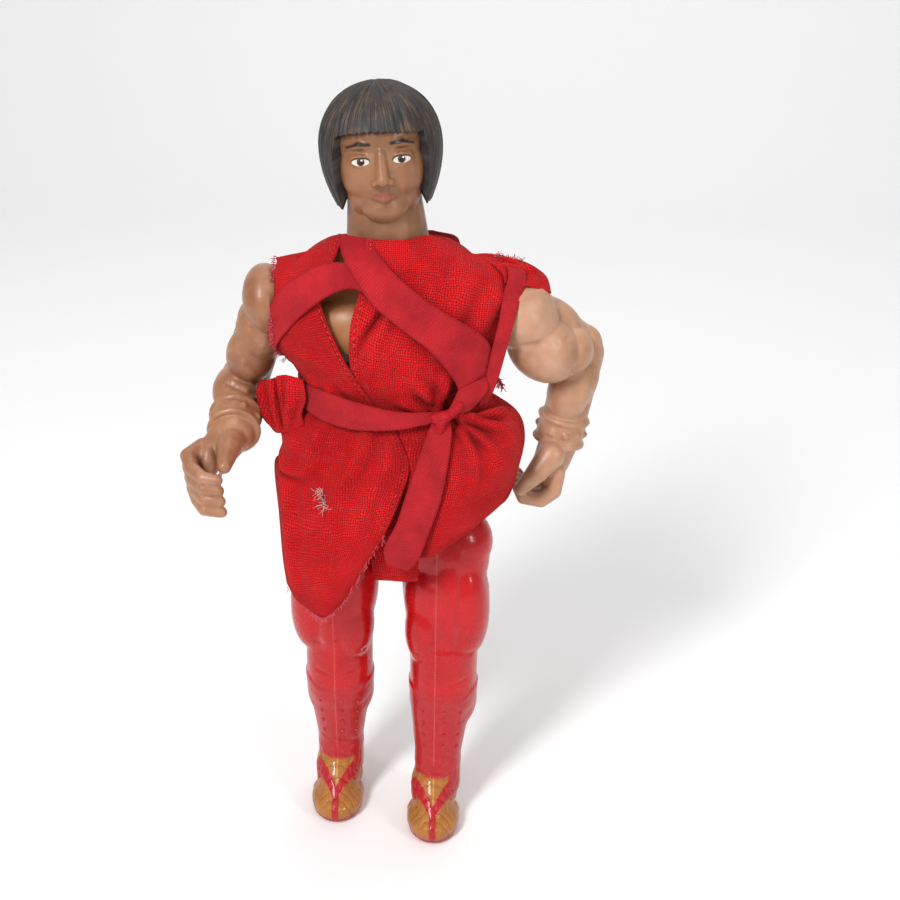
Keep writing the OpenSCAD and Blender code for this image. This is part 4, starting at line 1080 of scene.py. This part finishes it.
cotton = cloth_finish("red_cotton")
bodice = []
for name, node, net, gap, pleats, ragged in (
        ("jacket_left_front", "gi_front_left", left_front_net, 0.55,
         [((0.24, 0.30), (0.03, 0.62), 0.022, -0.6), ((0.13, 0.30), (0.02, 0.54), 0.04, 0.35),
          ((0.62, 0.86), (0.42, 0.62), 0.035, 0.9), ((0.60, 0.88), (0.28, 0.78), 0.03, 0.6),
          ((0.63, 0.86), (0.66, 0.60), 0.04, 0.7), ((0.30, 0.25), (0.10, 0.75), 0.03, 0.25),
          ((0.75, 0.15), (0.55, 0.55), 0.07, 0.5), ((0.92, 0.25), (0.74, 0.62), 0.06, 0.5)], 0.30),
        ("jacket_right_front", "gi_front_right", right_front_net, 1.15,
         [((0.85, 0.5), (0.3, 0.62), 0.05, 0.35), ((0.9, 0.74), (0.35, 0.8), 0.05, 0.45),
          ((0.5, 0.98), (0.45, 0.7), 0.06, 0.4)], 0.30)):
    cloth, s, t, size = spread_cloth(name, net, 96, 120)
    co, out = skin_of(cloth)
    co = co + out * folds(s, t, pleats)[:, None]
    edge_pull = fray(s, t, "s1", ragged, 5) * ramp(s, 0.93, 1.0) * (1 - ramp(t, 0.62, 0.72))
    co[:, 0] += edge_pull * np.sign(co[:, 0])
    co[:, 2] += edge_pull * 0.5
    hem = np.exp(-((s - 0.045) / 0.012) ** 2) * 0.16 - np.exp(-((s - 0.065) / 0.006) ** 2) * 0.10
    co = co + out * hem[:, None]
    mark_hems(cloth, s, t, size, ["s0"])
    set_skin(cloth, co)
    place_flat(cloth, gap)
    cut_area = flat_area(cloth, size)
    finish_cloth(cloth, None, cotton, node)
    bodice.append((cloth, size, cut_area))
back, s, t, size = spread_cloth("jacket_back", back_net(), 140, 110)
co, out = skin_of(back)
if out[:, 1].mean() < 0:
    back.data.flip_normals()
    co, out = skin_of(back)
co = co + out * folds(s, t, [((0.3, 0.95), (0.42, 0.4), 0.04, 0.7), ((0.7, 0.95), (0.6, 0.45), 0.05, 0.7),
                             ((0.5, 0.98), (0.5, 0.6), 0.03, 0.6), ((0.2, 0.1), (0.35, 0.5), 0.06, 0.5),
                             ((0.8, 0.1), (0.66, 0.5), 0.06, 0.5), ((0.12, 0.98), (0.2, 0.6), 0.04, 0.6),
                             ((0.88, 0.98), (0.8, 0.6), 0.04, 0.6)])[:, None]
set_skin(back, co)
place_flat(back, 0.7)
back_area = flat_area(back, size)
finish_cloth(back, None, cotton, "gi_back")
bodice.append((back, size, back_area))
for cloth, size, area in bodice:
    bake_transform(cloth)


# ---- Skirt flaps --------------------------------------------------------------------------------
# The jacket's tails below the waist ribbon. Each is a single cotton sheet with a stitched hem; the
# right one hangs to a frayed point and the left one bulges out from the knot.

right_flap_net = [
    [(-17.8, -1.0, 102.0), (-15.6, -8.8, 101.4), (-10.6, -12.2, 101.2), (-4.8, -13.2, 101.0),
     (0.9, -13.4, 101.2)],
    [(-21.4, -4.0, 97.6), (-19.4, -10.4, 96.8), (-12.9, -13.4, 96.2), (-3.8, -15.2, 96.4),
     (3.8, -15.4, 95.8)],
    [(-21.8, -4.6, 90.0), (-20.0, -11.6, 89.0), (-14.0, -14.2, 89.7), (-4.8, -16.2, 90.0),
     (5.2, -16.2, 91.6)],
    [(-23.2, -4.6, 86.4), (-21.0, -12.0, 85.4), (-14.0, -15.4, 84.0), (-5.7, -17.2, 84.4),
     (3.6, -17.2, 85.6)],
    [(-22.4, -6.0, 76.0), (-20.6, -13.0, 74.0), (-14.7, -16.4, 73.8), (-6.8, -17.9, 75.4),
     (0.3, -17.8, 77.6)],
    [(-21.6, -8.4, 66.8), (-19.8, -13.8, 64.6), (-15.4, -16.8, 64.9), (-9.2, -18.2, 67.0),
     (-3.6, -17.8, 70.4)],
    [(-20.6, -11.0, 62.0), (-18.2, -14.4, 60.0), (-14.9, -17.0, 58.8), (-11.9, -18.0, 58.2),
     (-7.9, -17.8, 62.2)]]
left_flap_net = [
    [(2.0, -12.6, 101.6), (11.6, -14.0, 102.4), (15.3, -13.2, 102.8), (18.4, -10.2, 103.2),
     (19.6, -2.2, 103.4)],
    [(2.4, -14.2, 98.0), (12.4, -16.2, 98.8), (17.4, -15.6, 100.2), (23.0, -12.2, 100.6), (26.2, -4.0, 99.4)],
    [(2.2, -14.9, 92.5), (13.4, -17.4, 93.4), (19.6, -16.4, 94.4), (25.4, -13.0, 95.2), (28.0, -5.6, 94.6)],
    [(2.0, -15.6, 85.6), (13.4, -18.0, 86.4), (19.2, -17.0, 87.8), (24.0, -14.0, 88.6), (26.8, -8.4, 88.4)],
    [(2.2, -15.7, 78.6), (11.2, -17.8, 79.2), (16.4, -17.0, 80.4), (21.4, -14.8, 82.0), (25.0, -11.4, 83.6)],
    [(3.6, -15.9, 71.4), (9.2, -17.4, 72.4), (13.0, -17.0, 74.8), (17.6, -15.6, 78.0), (22.0, -13.0, 81.4)]]


def skirt_back_net():
    rows = []
    for z, rx, ry, a0, a1 in ((101.6, 17.2, 12.0, -4, 184), (96, 19.6, 12.4, 0, 180),
                              (88, 21.4, 13.4, 8, 172),
                              (78, 23.4, 13.8, 22, 158), (70, 24.2, 14.0, 30, 150),
                              (65.6, 24.4, 14.0, 33, 147)):
        rows.append([(rx * math.cos(math.radians(a)), ry * math.sin(math.radians(a)), z)
                     for a in np.linspace(a0, a1, 9)])
    return rows


def hem_line(s, t, side, at, depth=0.14):
    along = {"s0": s, "s1": 1 - s, "t1": 1 - t}[side]
    return -depth * np.exp(-((along - at) / 0.010) ** 2)


for name, node, net, pleats, leg, hems in (
        ("skirt_right_flap", "skirt_flap_right", right_flap_net,
         [((0.05, 0.33), (0.5, 0.36), 0.035, 0.7), ((0.5, 0.02), (0.42, 0.4), 0.05, 0.5),
          ((0.8, 0.02), (0.62, 0.5), 0.05, 0.6),
          ((0.95, 0.1), (0.75, 0.7), 0.05, 0.5), ((0.25, 0.4), (0.35, 0.95), 0.06, 0.5)], "right_leg",
          (("s1", 0.03),)),
        ("skirt_left_flap", "skirt_flap_left", left_flap_net,
         [((0.42, 0.04), (0.80, 0.30), 0.04, 1.1), ((0.40, 0.05), (0.62, 0.42), 0.035, 0.8),
          ((0.42, 0.05), (0.92, 0.16), 0.035, 0.9),
          ((0.38, 0.06), (0.45, 0.6), 0.045, 0.7), ((0.5, 0.4), (0.85, 0.62), 0.07, 0.5)], "left_leg",
         (("s1", 0.035), ("t1", 0.035))),
        ("skirt_back_tail", "skirt_back", skirt_back_net(),
         [((0.2, 0.02), (0.26, 0.9), 0.035, 0.9), ((0.4, 0.02), (0.38, 0.9), 0.035, 0.8),
          ((0.56, 0.02), (0.6, 0.95), 0.04, 0.9),
          ((0.78, 0.02), (0.8, 0.9), 0.035, 0.8)], None, (("t1", 0.04),))):
    cloth, s, t, size = spread_cloth(name, net, 110, 120)
    co, out = skin_of(cloth)
    if node == "skirt_back" and out[:, 1].mean() < 0:
        cloth.data.flip_normals()
        co, out = skin_of(cloth)
    lift = folds(s, t, pleats)
    for side, at in hems:
        lift += hem_line(s, t, side, at) + hem_line(s, t, side, at * 2.1, 0.1)
    co = co + out * lift[:, None]
    mark_hems(cloth, s, t, size, [side for side, _ in hems])
    set_skin(cloth, co)
    area = flat_area(cloth, size)
    finish_cloth(cloth, "pelvis" if leg is None else None, cotton, node)
    if leg:
        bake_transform(cloth)

centre_net = [[(-2.6, -11.6, 78.4), (2.0, -12.0, 78.6), (7.0, -11.6, 78.8)],
              [(-2.6, -12.4, 70.0), (2.2, -12.8, 70.0), (7.0, -12.4, 70.2)],
              [(-2.2, -12.4, 64.2), (2.4, -12.7, 64.0), (6.9, -12.4, 64.2)]]
cloth, s, t, size = spread_cloth("skirt_centre_tail", centre_net, 40, 60)
co, out = skin_of(cloth)
lift = 0.25 * np.sin(7 * s + 2 * t) + hem_line(s, t, "t1", 0.10) + hem_line(s, t, "t1", 0.18, 0.1)
set_skin(cloth, co + out * lift[:, None])
area = flat_area(cloth, size)
finish_cloth(cloth, "pelvis", cotton, "centre_tail")

# Where the jacket is pulled up under the right arm it stands out in a crumpled fold
bunch_net = [
    [(-26.2, -2.6, 104.6), (-23.8, -6.4, 106.0), (-20.6, -8.2, 107.8), (-16.4, -11.0, 108.0)],
    [(-26.4, -3.4, 101.6), (-23.6, -7.6, 102.6), (-20.2, -9.6, 103.6), (-15.8, -12.0, 104.4)],
    [(-25.8, -4.4, 98.2), (-23.2, -8.6, 99.0), (-20.0, -10.6, 99.8), (-16.6, -11.6, 101.0)],
    [(-23.2, -5.6, 94.8), (-21.8, -9.0, 95.6), (-19.4, -10.6, 96.6), (-16.2, -11.6, 98.6)]]
cap_net = [
    [(14.6, -1.0, 131.0), (18.4, 1.0, 130.6), (22.6, 2.8, 129.4)],
    [(18.6, -2.0, 130.4), (22.8, -0.2, 129.9), (27.2, 2.2, 128.6)],
    [(22.0, -3.6, 128.8), (26.8, -1.6, 128.2), (31.2, 1.4, 126.2)],
    [(23.2, -5.0, 126.6), (28.2, -3.6, 125.4), (32.4, -0.4, 123.2)]]
for name, net, pleats in (
        ("jacket_side_bunch", bunch_net, [((0.1, 0.1), (0.3, 0.9), 0.06, 0.9),
                                          ((0.5, 0.0), (0.55, 0.95), 0.05, -0.8),
                                         ((0.8, 0.1), (0.7, 0.9), 0.07, 0.7)]),
        ("jacket_shoulder_cap", cap_net, [((0.5, 0.1), (0.7, 0.95), 0.09, 0.4),
                                          ((0.1, 0.5), (0.9, 0.7), 0.06, 0.25)])):
    cloth, s, t, size = spread_cloth(name, net, 50, 60)
    co, out = skin_of(cloth)
    set_skin(cloth, co + out * folds(s, t, pleats)[:, None])
    if name == "jacket_shoulder_cap" and out[:, 2].mean() < 0:
        cloth.data.flip_normals()
    area = flat_area(cloth, size)
    finish_cloth(cloth, "torso", cotton)


# ---- Ribbons and knot ---------------------------------------------------------------------------
# One length of red woven ribbon, about 9 mm wide with firm edges, crosses the chest and the back,
# passes round the waist and is knotted in front; its end hangs over the skirt.

RIBBON_RED = (0.50, 0.012, 0.018)
RIBBON_DEEP = (0.34, 0.006, 0.012)
RIBBON_PALE = (0.54, 0.040, 0.050)
RIBBON_THICK = 0.30
RIB_PITCH = 0.42


def ribbon_finish():
    finish, tree, shader = start_finish("red_ribbon", 0.62, Sheen_Weight=0.06, Sheen_Roughness=0.4,
                                        Sheen_Tint=(1, 0.4, 0.4, 1), Specular_IOR_Level=0.14)
    cut = put(tree, "ShaderNodeUVMap", uv_map="cut").outputs[0]
    place = place_mm(tree)
    u, v, _ = split(tree, cut)
    slant = calc(tree, "MULTIPLY_ADD", u, 0.45, v)
    rib = calc(tree, "ABSOLUTE", calc(tree, "SINE", calc(tree, "MULTIPLY", slant, math.pi / RIB_PITCH)))
    yarn = calc(tree, "ABSOLUTE", calc(tree, "SINE", calc(tree, "MULTIPLY", u, math.pi / 0.16)))
    tone = blend_paint(tree, mottle(tree, place, 0.16, 3.0), RIBBON_RED, RIBBON_DEEP)
    tone = blend_paint(tree, calc(tree, "MULTIPLY", calc(tree, "POWER", rib, 3.0), 0.30), tone, RIBBON_PALE)
    fuzz = mottle(tree, place, 1.3, 6.0, 0.7, 0.55, 0.8)
    tone = blend_paint(tree, calc(tree, "MULTIPLY", fuzz, 0.2), tone, RIBBON_PALE)
    edge = put(tree, "ShaderNodeAttribute", attribute_name="edge").outputs["Fac"]
    tone = blend_paint(tree, calc(tree, "MULTIPLY", step(tree, edge, 0.86, 0.97), 0.45), tone, RIBBON_DEEP)
    tree.links.new(tone, shader.inputs["Base Color"])
    height = calc(tree, "MULTIPLY_ADD", yarn, 0.4, rib)
    bump(tree, shader, height, 0.00010, 0.9)
    return finish


def lay_ribbon(name, edges, along, waves=(), columns=14, lift=0.0):
    """A ribbon between two edges, given as pairs of points; waves are (side shift, along, width, height)."""
    cloth, s, t, size = spread_cloth(name, edges, columns, along)
    co, out = skin_of(cloth)
    rise = np.full(len(s), lift)
    for s0, t0, width, height in waves:
        rise += height * np.exp(-(((s - s0) * 0.5) ** 2 + (t - t0) ** 2) / width ** 2)
    across = np.abs(s * 2 - 1)
    rise += 0.07 * ramp(across, 0.86, 0.95)
    set_skin(cloth, co + out * rise[:, None])
    edge = cloth.data.attributes.new("edge", "FLOAT", "POINT")
    edge.data.foreach_set("value", across.astype(np.float32))
    return cloth


ribbon = ribbon_finish()
chest_edges = [[(-9.2, -4.6, 135.6), (-3.4, -7.6, 136.0)], [(-8.0, -10.2, 132.6), (0.6, -11.6, 131.6)],
               [(-2.6, -14.2, 125.4), (5.9, -14.2, 127.6)], [(3.1, -15.8, 120.8), (11.6, -14.8, 123.8)],
               [(8.9, -16.0, 116.2), (18.0, -12.2, 119.1)], [(12.6, -15.8, 111.6), (20.6, -9.8, 114.3)],
               [(14.4, -15.0, 107.8), (20.2, -10.0, 109.0)], [(14.2, -13.8, 104.2), (19.4, -8.6, 104.6)]]
armhole_edges = [[(-3.2, -13.6, 126.6), (-6.4, -10.8, 131.6)], [(-6.6, -13.4, 127.6), (-10.0, -10.4, 131.9)],
                 [(-10.8, -12.8, 125.9), (-14.8, -9.4, 130.0)], [(-15.7, -11.8, 121.8), (-19.4, -8.2, 126.4)],
                 [(-19.6, -10.8, 117.2), (-22.6, -6.6, 121.6)], [(-21.4, -9.0, 113.6), (-23.4, -4.8, 115.2)],
                 [(-20.4, -3.6, 110.4), (-21.2, -0.2, 112.2)], [(-19.2, 3.2, 108.8), (-19.6, 4.6, 113.0)]]
shoulder_edges = [[(20.4, 3.4, 129.4), (24.4, 1.2, 129.6)], [(23.4, -3.4, 128.3), (27.0, -2.0, 127.2)],
                  [(22.6, -6.2, 124.5), (25.9, -5.0, 123.2)], [(21.9, -8.9, 120.3), (24.8, -8.0, 119.6)],
                  [(20.6, -10.4, 114.6), (23.4, -9.2, 114.2)], [(19.4, -11.6, 108.2), (21.8, -10.6, 108.2)],
                  [(18.2, -12.6, 104.0), (20.0, -11.4, 104.4)]]
back_edges = [[(9.0, 8.6, 133.4), (2.6, 9.8, 133.2)], [(13.6, 11.2, 131.2), (6.0, 12.4, 128.2)],
              [(13.4, 14.6, 125.6), (5.6, 15.4, 120.8)], [(6.4, 15.8, 120.2), (-0.4, 15.6, 114.4)],
              [(-2.6, 15.4, 114.8), (-7.4, 13.6, 107.8)], [(-10.2, 13.8, 110.2), (-12.4, 11.6, 104.2)]]
back_strap_edges = [[(20.6, 4.2, 129.6), (24.2, 2.6, 129.2)], [(20.6, 8.8, 126.4), (24.0, 6.6, 124.8)],
                    [(18.4, 12.4, 119.6), (21.8, 9.4, 117.4)], [(16.6, 12.4, 112.4), (20.4, 8.4, 110.4)],
                    [(14.4, 11.2, 105.6), (18.6, 7.0, 104.4)]]
waist_edges = [[(11.4, -16.9, 104.1), (11.4, -16.9, 102.3)], [(8.1, -16.6, 103.8), (8.1, -16.8, 101.3)],
               [(2.2, -16.0, 103.6), (2.2, -16.4, 99.8)], [(-5.7, -14.8, 105.0), (-5.7, -15.2, 99.2)],
               [(-11.7, -12.8, 106.3), (-11.8, -13.2, 100.0)], [(-15.9, -9.8, 106.6), (-15.9, -10.2, 101.4)],
               [(-17.9, -3.6, 105.8), (-18.2, -3.8, 101.4)], [(-17.6, 5.0, 105.4), (-18.0, 5.2, 101.2)],
               [(-11.8, 12.0, 105.4), (-12.0, 12.3, 101.2)], [(0.0, 14.0, 105.2), (0.0, 14.3, 101.0)],
               [(11.8, 12.0, 105.2), (12.0, 12.3, 101.0)], [(17.6, 5.0, 105.4), (18.0, 5.2, 101.4)],
               [(18.6, -3.6, 106.0), (18.8, -3.8, 102.2)], [(17.6, -10.8, 106.2), (17.6, -11.4, 102.6)],
               [(14.6, -15.0, 105.0), (14.6, -15.4, 102.8)], [(11.6, -16.9, 104.1), (11.6, -16.9, 102.4)]]
fold_edges = [[(14.6, -15.7, 108.4), (19.9, -11.4, 109.6)], [(13.6, -16.6, 106.4), (20.2, -12.8, 107.4)],
              [(12.4, -17.0, 104.2), (17.4, -14.6, 104.2)], [(11.4, -16.6, 102.8), (14.0, -15.8, 102.4)]]
tail_edges = [[(10.4, -16.6, 103.0), (12.6, -16.6, 103.0)], [(9.0, -17.2, 100.6), (13.4, -17.6, 99.6)],
              [(6.2, -18.4, 92.1), (12.4, -18.9, 90.9)], [(4.4, -18.9, 86.4), (11.2, -19.0, 84.8)],
              [(2.6, -19.0, 80.4), (9.2, -19.2, 78.6)], [(0.2, -18.9, 75.0), (7.2, -19.0, 72.6)],
              [(0.6, -18.6, 71.2), (5.0, -18.7, 69.8)]]
for name, node, edges, along, rise, waves in (
        ("ribbon_chest", "sash_chest", chest_edges, 160, 0.4,
         ((0.9, 0.62, 0.06, 0.5), (0.3, 0.5, 0.1, 0.25), (0.7, 0.9, 0.08, -0.5))),
        ("ribbon_armhole", "sash_armhole", armhole_edges, 140, 0.4, ((0.5, 0.3, 0.08, 0.3),)),
        ("ribbon_shoulder", "sash_shoulder", shoulder_edges, 140, 0.6, ((0.6, 0.5, 0.06, 0.25),)),
        ("ribbon_back", "sash_back", back_edges, 140, 0.4, ((0.5, 0.5, 0.1, 0.3),)),
        ("ribbon_back_strap", None, back_strap_edges, 120, 0.3, ()),
        ("ribbon_waist", "sash_waist", waist_edges, 360, 0.0, ((0.3, 0.92, 0.03, 0.3),)),
        ("ribbon_fold", None, fold_edges, 60, 0.0, ((0.5, 0.5, 0.2, 0.4),)),
        ("ribbon_tail", "sash_tail", tail_edges, 150, 0.0,
         ((0.2, 0.3, 0.12, 0.35), (0.8, 0.55, 0.12, -0.3), (0.3, 0.8, 0.1, 0.3)))):
    piece = lay_ribbon(name, edges, along, waves, lift=rise)
    nodes = (node,) if node else ()
    if name == "ribbon_tail":
        finish_cloth(piece, None, ribbon, *nodes, thick=RIBBON_THICK, slot="ribbon")
        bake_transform(piece)
    else:
        finish_cloth(piece, "torso", ribbon, *nodes, thick=RIBBON_THICK, slot="ribbon")


def make_knot():
    form = bmesh.new()
    add_chain(form, [(9.4, -16.6, 102.6), (10.4, -17.5, 103.0), (11.8, -17.8, 103.4), (13.0, -17.2, 103.8)],
              [0.8, 1.15, 1.3, 1.0])
    add_chain(form, [(12.6, -17.3, 103.6), (13.8, -16.8, 104.4), (15.0, -16.2, 105.4)], [1.0, 0.9, 0.7])
    add_chain(form, [(11.4, -17.7, 103.0), (11.2, -17.7, 101.6), (11.0, -17.5, 100.4)], [1.0, 1.0, 0.8])
    piece = mould(form, "ribbon_knot", 0.2, 6)
    co, out = skin_of(piece)
    for shift in (-0.5, 0.0, 0.5):
        co = crease(co, out, [(10.8 + shift, -18.8, 105), (10.6 + shift, -19.8, 103),
                              (11.0 + shift, -18.8, 101)], 0.14, 0.14)
        co = crease(co, out, [(8.6, -17.2, 102.6 + shift), (12.6, -18.4, 103 + shift),
                              (15.8, -16.6, 102.6 + shift)], 0.14, 0.12)
    set_skin(piece, co)
    return piece


def thread_finish(name, colour):
    finish, tree, shader = start_finish(name, 0.85, Sheen_Weight=0.4)
    place = place_mm(tree)
    tree.links.new(blend_paint(tree, mottle(tree, place, 2.0), colour, tuple(0.7 * c for c in colour)),
                   shader.inputs["Base Color"])
    twist = put(tree, "ShaderNodeTexNoise", {"Vector": place, "Scale": 9.0}).outputs[0]
    bump(tree, shader, twist, 0.00005, 0.5)
    return finish


knot_finish, tree, shader = start_finish("ribbon_knotted", 0.65, Specular_IOR_Level=0.14)
place = place_mm(tree)
stretched = put(tree, "ShaderNodeMapping", {"Vector": place, "Scale": (1.2, 1.2, 7.0)}).outputs[0]
lines = put(tree, "ShaderNodeTexNoise", {"Vector": stretched, "Scale": 1.0, "Detail": 4.0}).outputs[0]
tree.links.new(blend_paint(tree, step(tree, lines, 0.4, 0.62), RIBBON_DEEP, RIBBON_RED),
               shader.inputs["Base Color"])
bump(tree, shader, lines, 0.0002, 0.8)
knot = make_knot()
knot.data.materials.append(knot_finish)
set_in_place(knot, "torso", "sash_knot")


# ---- Frayed threads -----------------------------------------------------------------------------
# Loose cotton ends along the raw armholes and the point of the right flap, a tuft under the left arm,
# and a few pale threads caught in the weave.

def add_thread(form, start, way, length, thick, draw, curl=0.9, sides=4):
    """One loose thread: a thin tube that wanders off along its way."""
    here = Vector(start)
    go = Vector(way).normalized()
    points = [here.copy()]
    steps = 6
    for _ in range(steps):
        go = (go + Vector([draw.uniform(-curl, curl) for _ in range(3)]) * 0.5).normalized()
        here = here + go * (length / steps)
        points.append(here.copy())
    ring = bmesh.ops.create_circle(
        form, cap_ends=True, segments=sides, radius=thick, matrix=Matrix.Translation(points[0])
        @ (points[1] - points[0]).to_track_quat("Z", "Y").to_matrix().to_4x4())["verts"]
    face = ring[0].link_faces[0]
    for k in range(steps):
        grown = bmesh.ops.extrude_face_region(form, geom=[face])["geom"]
        tips = [v for v in grown if isinstance(v, bmesh.types.BMVert)]
        face = [f for f in grown if isinstance(f, bmesh.types.BMFace)][0]
        centre = sum((v.co for v in tips), Vector()) / len(tips)
        bmesh.ops.translate(form, vec=points[k + 1] - centre, verts=tips)


fray_red = thread_finish("frayed_cotton", (0.66, 0.05, 0.07))
fray_pale = thread_finish("pale_thread", (0.62, 0.40, 0.34))


def fray_along(name, body, path, count, length, away, seed, thick=0.075):
    draw = random.Random(seed)
    form = bmesh.new()
    for _ in range(count):
        t = draw.random()
        spot = Vector(curve_through(np.asarray(path, float), np.array([t]))[0])
        spot += Vector([draw.uniform(-0.25, 0.25) for _ in range(3)])
        add_thread(form, spot, Vector(away) + Vector([draw.uniform(-0.6, 0.6) for _ in range(3)]),
                   length * draw.uniform(0.35, 1.0), thick * draw.uniform(0.6, 1.1), draw)
    bmesh.ops.recalc_face_normals(form, faces=form.faces[:])
    piece = new_piece(form, name)
    piece.data.materials.append(fray_red)
    return set_in_place(piece, body)


fray_along("fray_right_armhole", "torso", [(-22.2, -4.6, 125.2), (-22.4, -8.2, 118.6), (-21.8, -8.8, 114.4),
                                           (-20.4, -5.6, 110.0)],
           110, 1.3, (-1, -0.4, -0.2), 1)
fray_along("fray_right_shoulder", "torso", [(-22.4, 0.4, 129.5), (-22.6, -2.0, 127.6),
                                            (-22.4, -4.4, 125.6)], 60, 1.1, (-1, -0.3, 0.2), 2)
fray_along("fray_left_armhole", "torso", [(24.0, -4.4, 125.8), (22.8, -7.5, 121.6), (21.5, -8.6, 116.4),
                                          (20.0, -7.6, 111.2)],
           110, 1.2, (1, -0.5, -0.1), 3)
fray_along("fray_left_shoulder", "torso", [(21.0, -0.4, 130.4), (23.6, 0.4, 130.0), (26.4, 1.6, 128.8)], 60,
           1.5, (0.3, -0.4, 1), 4)
fray_along("tuft_left_arm", "torso", [(22.2, -7.6, 108.0), (22.9, -7.6, 106.6)], 34, 2.2, (0.3, -0.4, -1),
           5, 0.11)
pale_spots = [(-13.6, -16.6, 86.5), (-12.4, -16.8, 84.9), (-12.0, -16.9, 82.7)]
for name, path, count, seed in (
        ("fray_flap_point", [(-20.4, -11.4, 61.6), (-15.0, -17.2, 58.6), (-12.0, -18.2, 58.0),
                             (-8.2, -18.0, 61.8)], 120, 6),
        ("fray_flap_slope", [(-8.0, -18.0, 62.0), (-3.6, -18.0, 70.4), (0.3, -18.0, 77.4)], 60, 7),
        ("thread_patch", pale_spots, 46, 8)):
    piece_draw = random.Random(seed)
    form = bmesh.new()
    for _ in range(count):
        spot = Vector(curve_through(np.asarray(path, float), np.array([piece_draw.random()]))[0])
        spot += Vector([piece_draw.uniform(-0.3, 0.3) for _ in range(3)])
        if name == "thread_patch":
            add_thread(form, spot, (piece_draw.uniform(-1, 1), piece_draw.uniform(-0.3, 0),
                                    piece_draw.uniform(-1, 1)),
                       piece_draw.uniform(0.8, 2.6), 0.045, piece_draw, 1.3)
        else:
            add_thread(form, spot, (piece_draw.uniform(-0.4, 0.4), piece_draw.uniform(-0.5, 0.1), -1),
                       piece_draw.uniform(0.4, 1.3), 0.07, piece_draw)
    bmesh.ops.recalc_face_normals(form, faces=form.faces[:])
    piece = new_piece(form, name)
    piece.data.transform(Matrix.Translation(middle) @ Matrix.Scale(MM, 4))
    piece.data.materials.append(fray_pale if name == "thread_patch" else fray_red)
    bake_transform(piece)


# ---- Table top, lights and camera ---------------------------------------------------------------
# The figure stands on a plain pale sweep under soft studio lights. The camera looks down a little
# from the front.

FLOOR_SIDE = 1.6
SWEEP_RADIUS = 0.25


def make_floor():
    profile = bmesh.new()
    near = [profile.verts.new((-FLOOR_SIDE, -FLOOR_SIDE, 0)), profile.verts.new((FLOOR_SIDE, -FLOOR_SIDE, 0))]
    profile.edges.new(near)
    edge = profile.edges[:]
    steps = [Vector((0, FLOOR_SIDE + 0.5, 0))]
    for k in range(12):
        a, b = math.pi / 2 * k / 12, math.pi / 2 * (k + 1) / 12
        steps.append(Vector((0, SWEEP_RADIUS * (math.sin(b) - math.sin(a)),
                             SWEEP_RADIUS * (math.cos(a) - math.cos(b)))))
    steps.append(Vector((0, 0, 1.4)))
    for move in steps:
        made = bmesh.ops.extrude_edge_only(profile, edges=edge)["geom"]
        bmesh.ops.translate(profile, vec=move, verts=[v for v in made if isinstance(v, bmesh.types.BMVert)])
        edge = [e for e in made if isinstance(e, bmesh.types.BMEdge)]
    bmesh.ops.recalc_face_normals(profile, faces=profile.faces[:])
    floor = new_piece(profile, "floor")
    if floor.data.polygons[0].normal.z < 0:
        floor.data.flip_normals()
    floor.data.polygons.foreach_set("use_smooth", [True] * len(floor.data.polygons))
    paper, tree, shader = start_finish("white_paper", 0.9)
    shader.inputs["Base Color"].default_value = (0.9, 0.9, 0.9, 1)
    floor.data.materials.append(paper)


make_floor()
bpy.context.scene.view_settings.view_transform = "Standard"

world = bpy.data.worlds.new("studio")
bpy.context.scene.world = world
world.use_nodes = True
world.node_tree.nodes["Background"].inputs["Color"].default_value = (1, 1, 1, 1)
world.node_tree.nodes["Background"].inputs["Strength"].default_value = 0.40


def add_light(name, at, aim, size, power):
    lamp = bpy.data.lights.new(name, "AREA")
    lamp.shape = "RECTANGLE"
    lamp.size = size
    lamp.size_y = size * 2.2
    lamp.energy = power
    light = bpy.data.objects.new(name, lamp)
    light.location = at
    light.rotation_euler = (Vector(aim) - Vector(at)).to_track_quat("-Z", "Y").to_euler()
    bpy.context.scene.collection.objects.link(light)
    return light


add_light("key", (-0.30, -0.55, 0.62), (0, 0, 0.09), 0.14, 5.2)
add_light("fill", (0.55, -0.45, 0.35), (0, 0, 0.08), 0.11, 1.3)
add_light("top", (0.05, 0.15, 0.75), (0, 0, 0.1), 0.5, 2.2)

CAMERA_AZIMUTH, CAMERA_ELEVATION, CAMERA_DISTANCE = math.radians(3), math.radians(25), 0.330
camera_data = bpy.data.cameras.new("camera")
camera_data.lens = 62.6
camera_data.sensor_width = 36
camera_data.shift_x = 0.0689
camera_data.shift_y = 0.03
camera_data.clip_start = 0.01
camera = bpy.data.objects.new("camera", camera_data)
aim = middle + Vector((0, 0, 0.082))
away = Vector((math.sin(CAMERA_AZIMUTH) * math.cos(CAMERA_ELEVATION),
               -math.cos(CAMERA_AZIMUTH) * math.cos(CAMERA_ELEVATION), math.sin(CAMERA_ELEVATION)))
camera.location = aim + away * CAMERA_DISTANCE
camera.rotation_euler = (-away).to_track_quat("-Z", "Y").to_euler()
bpy.context.scene.collection.objects.link(camera)
bpy.context.scene.camera = camera
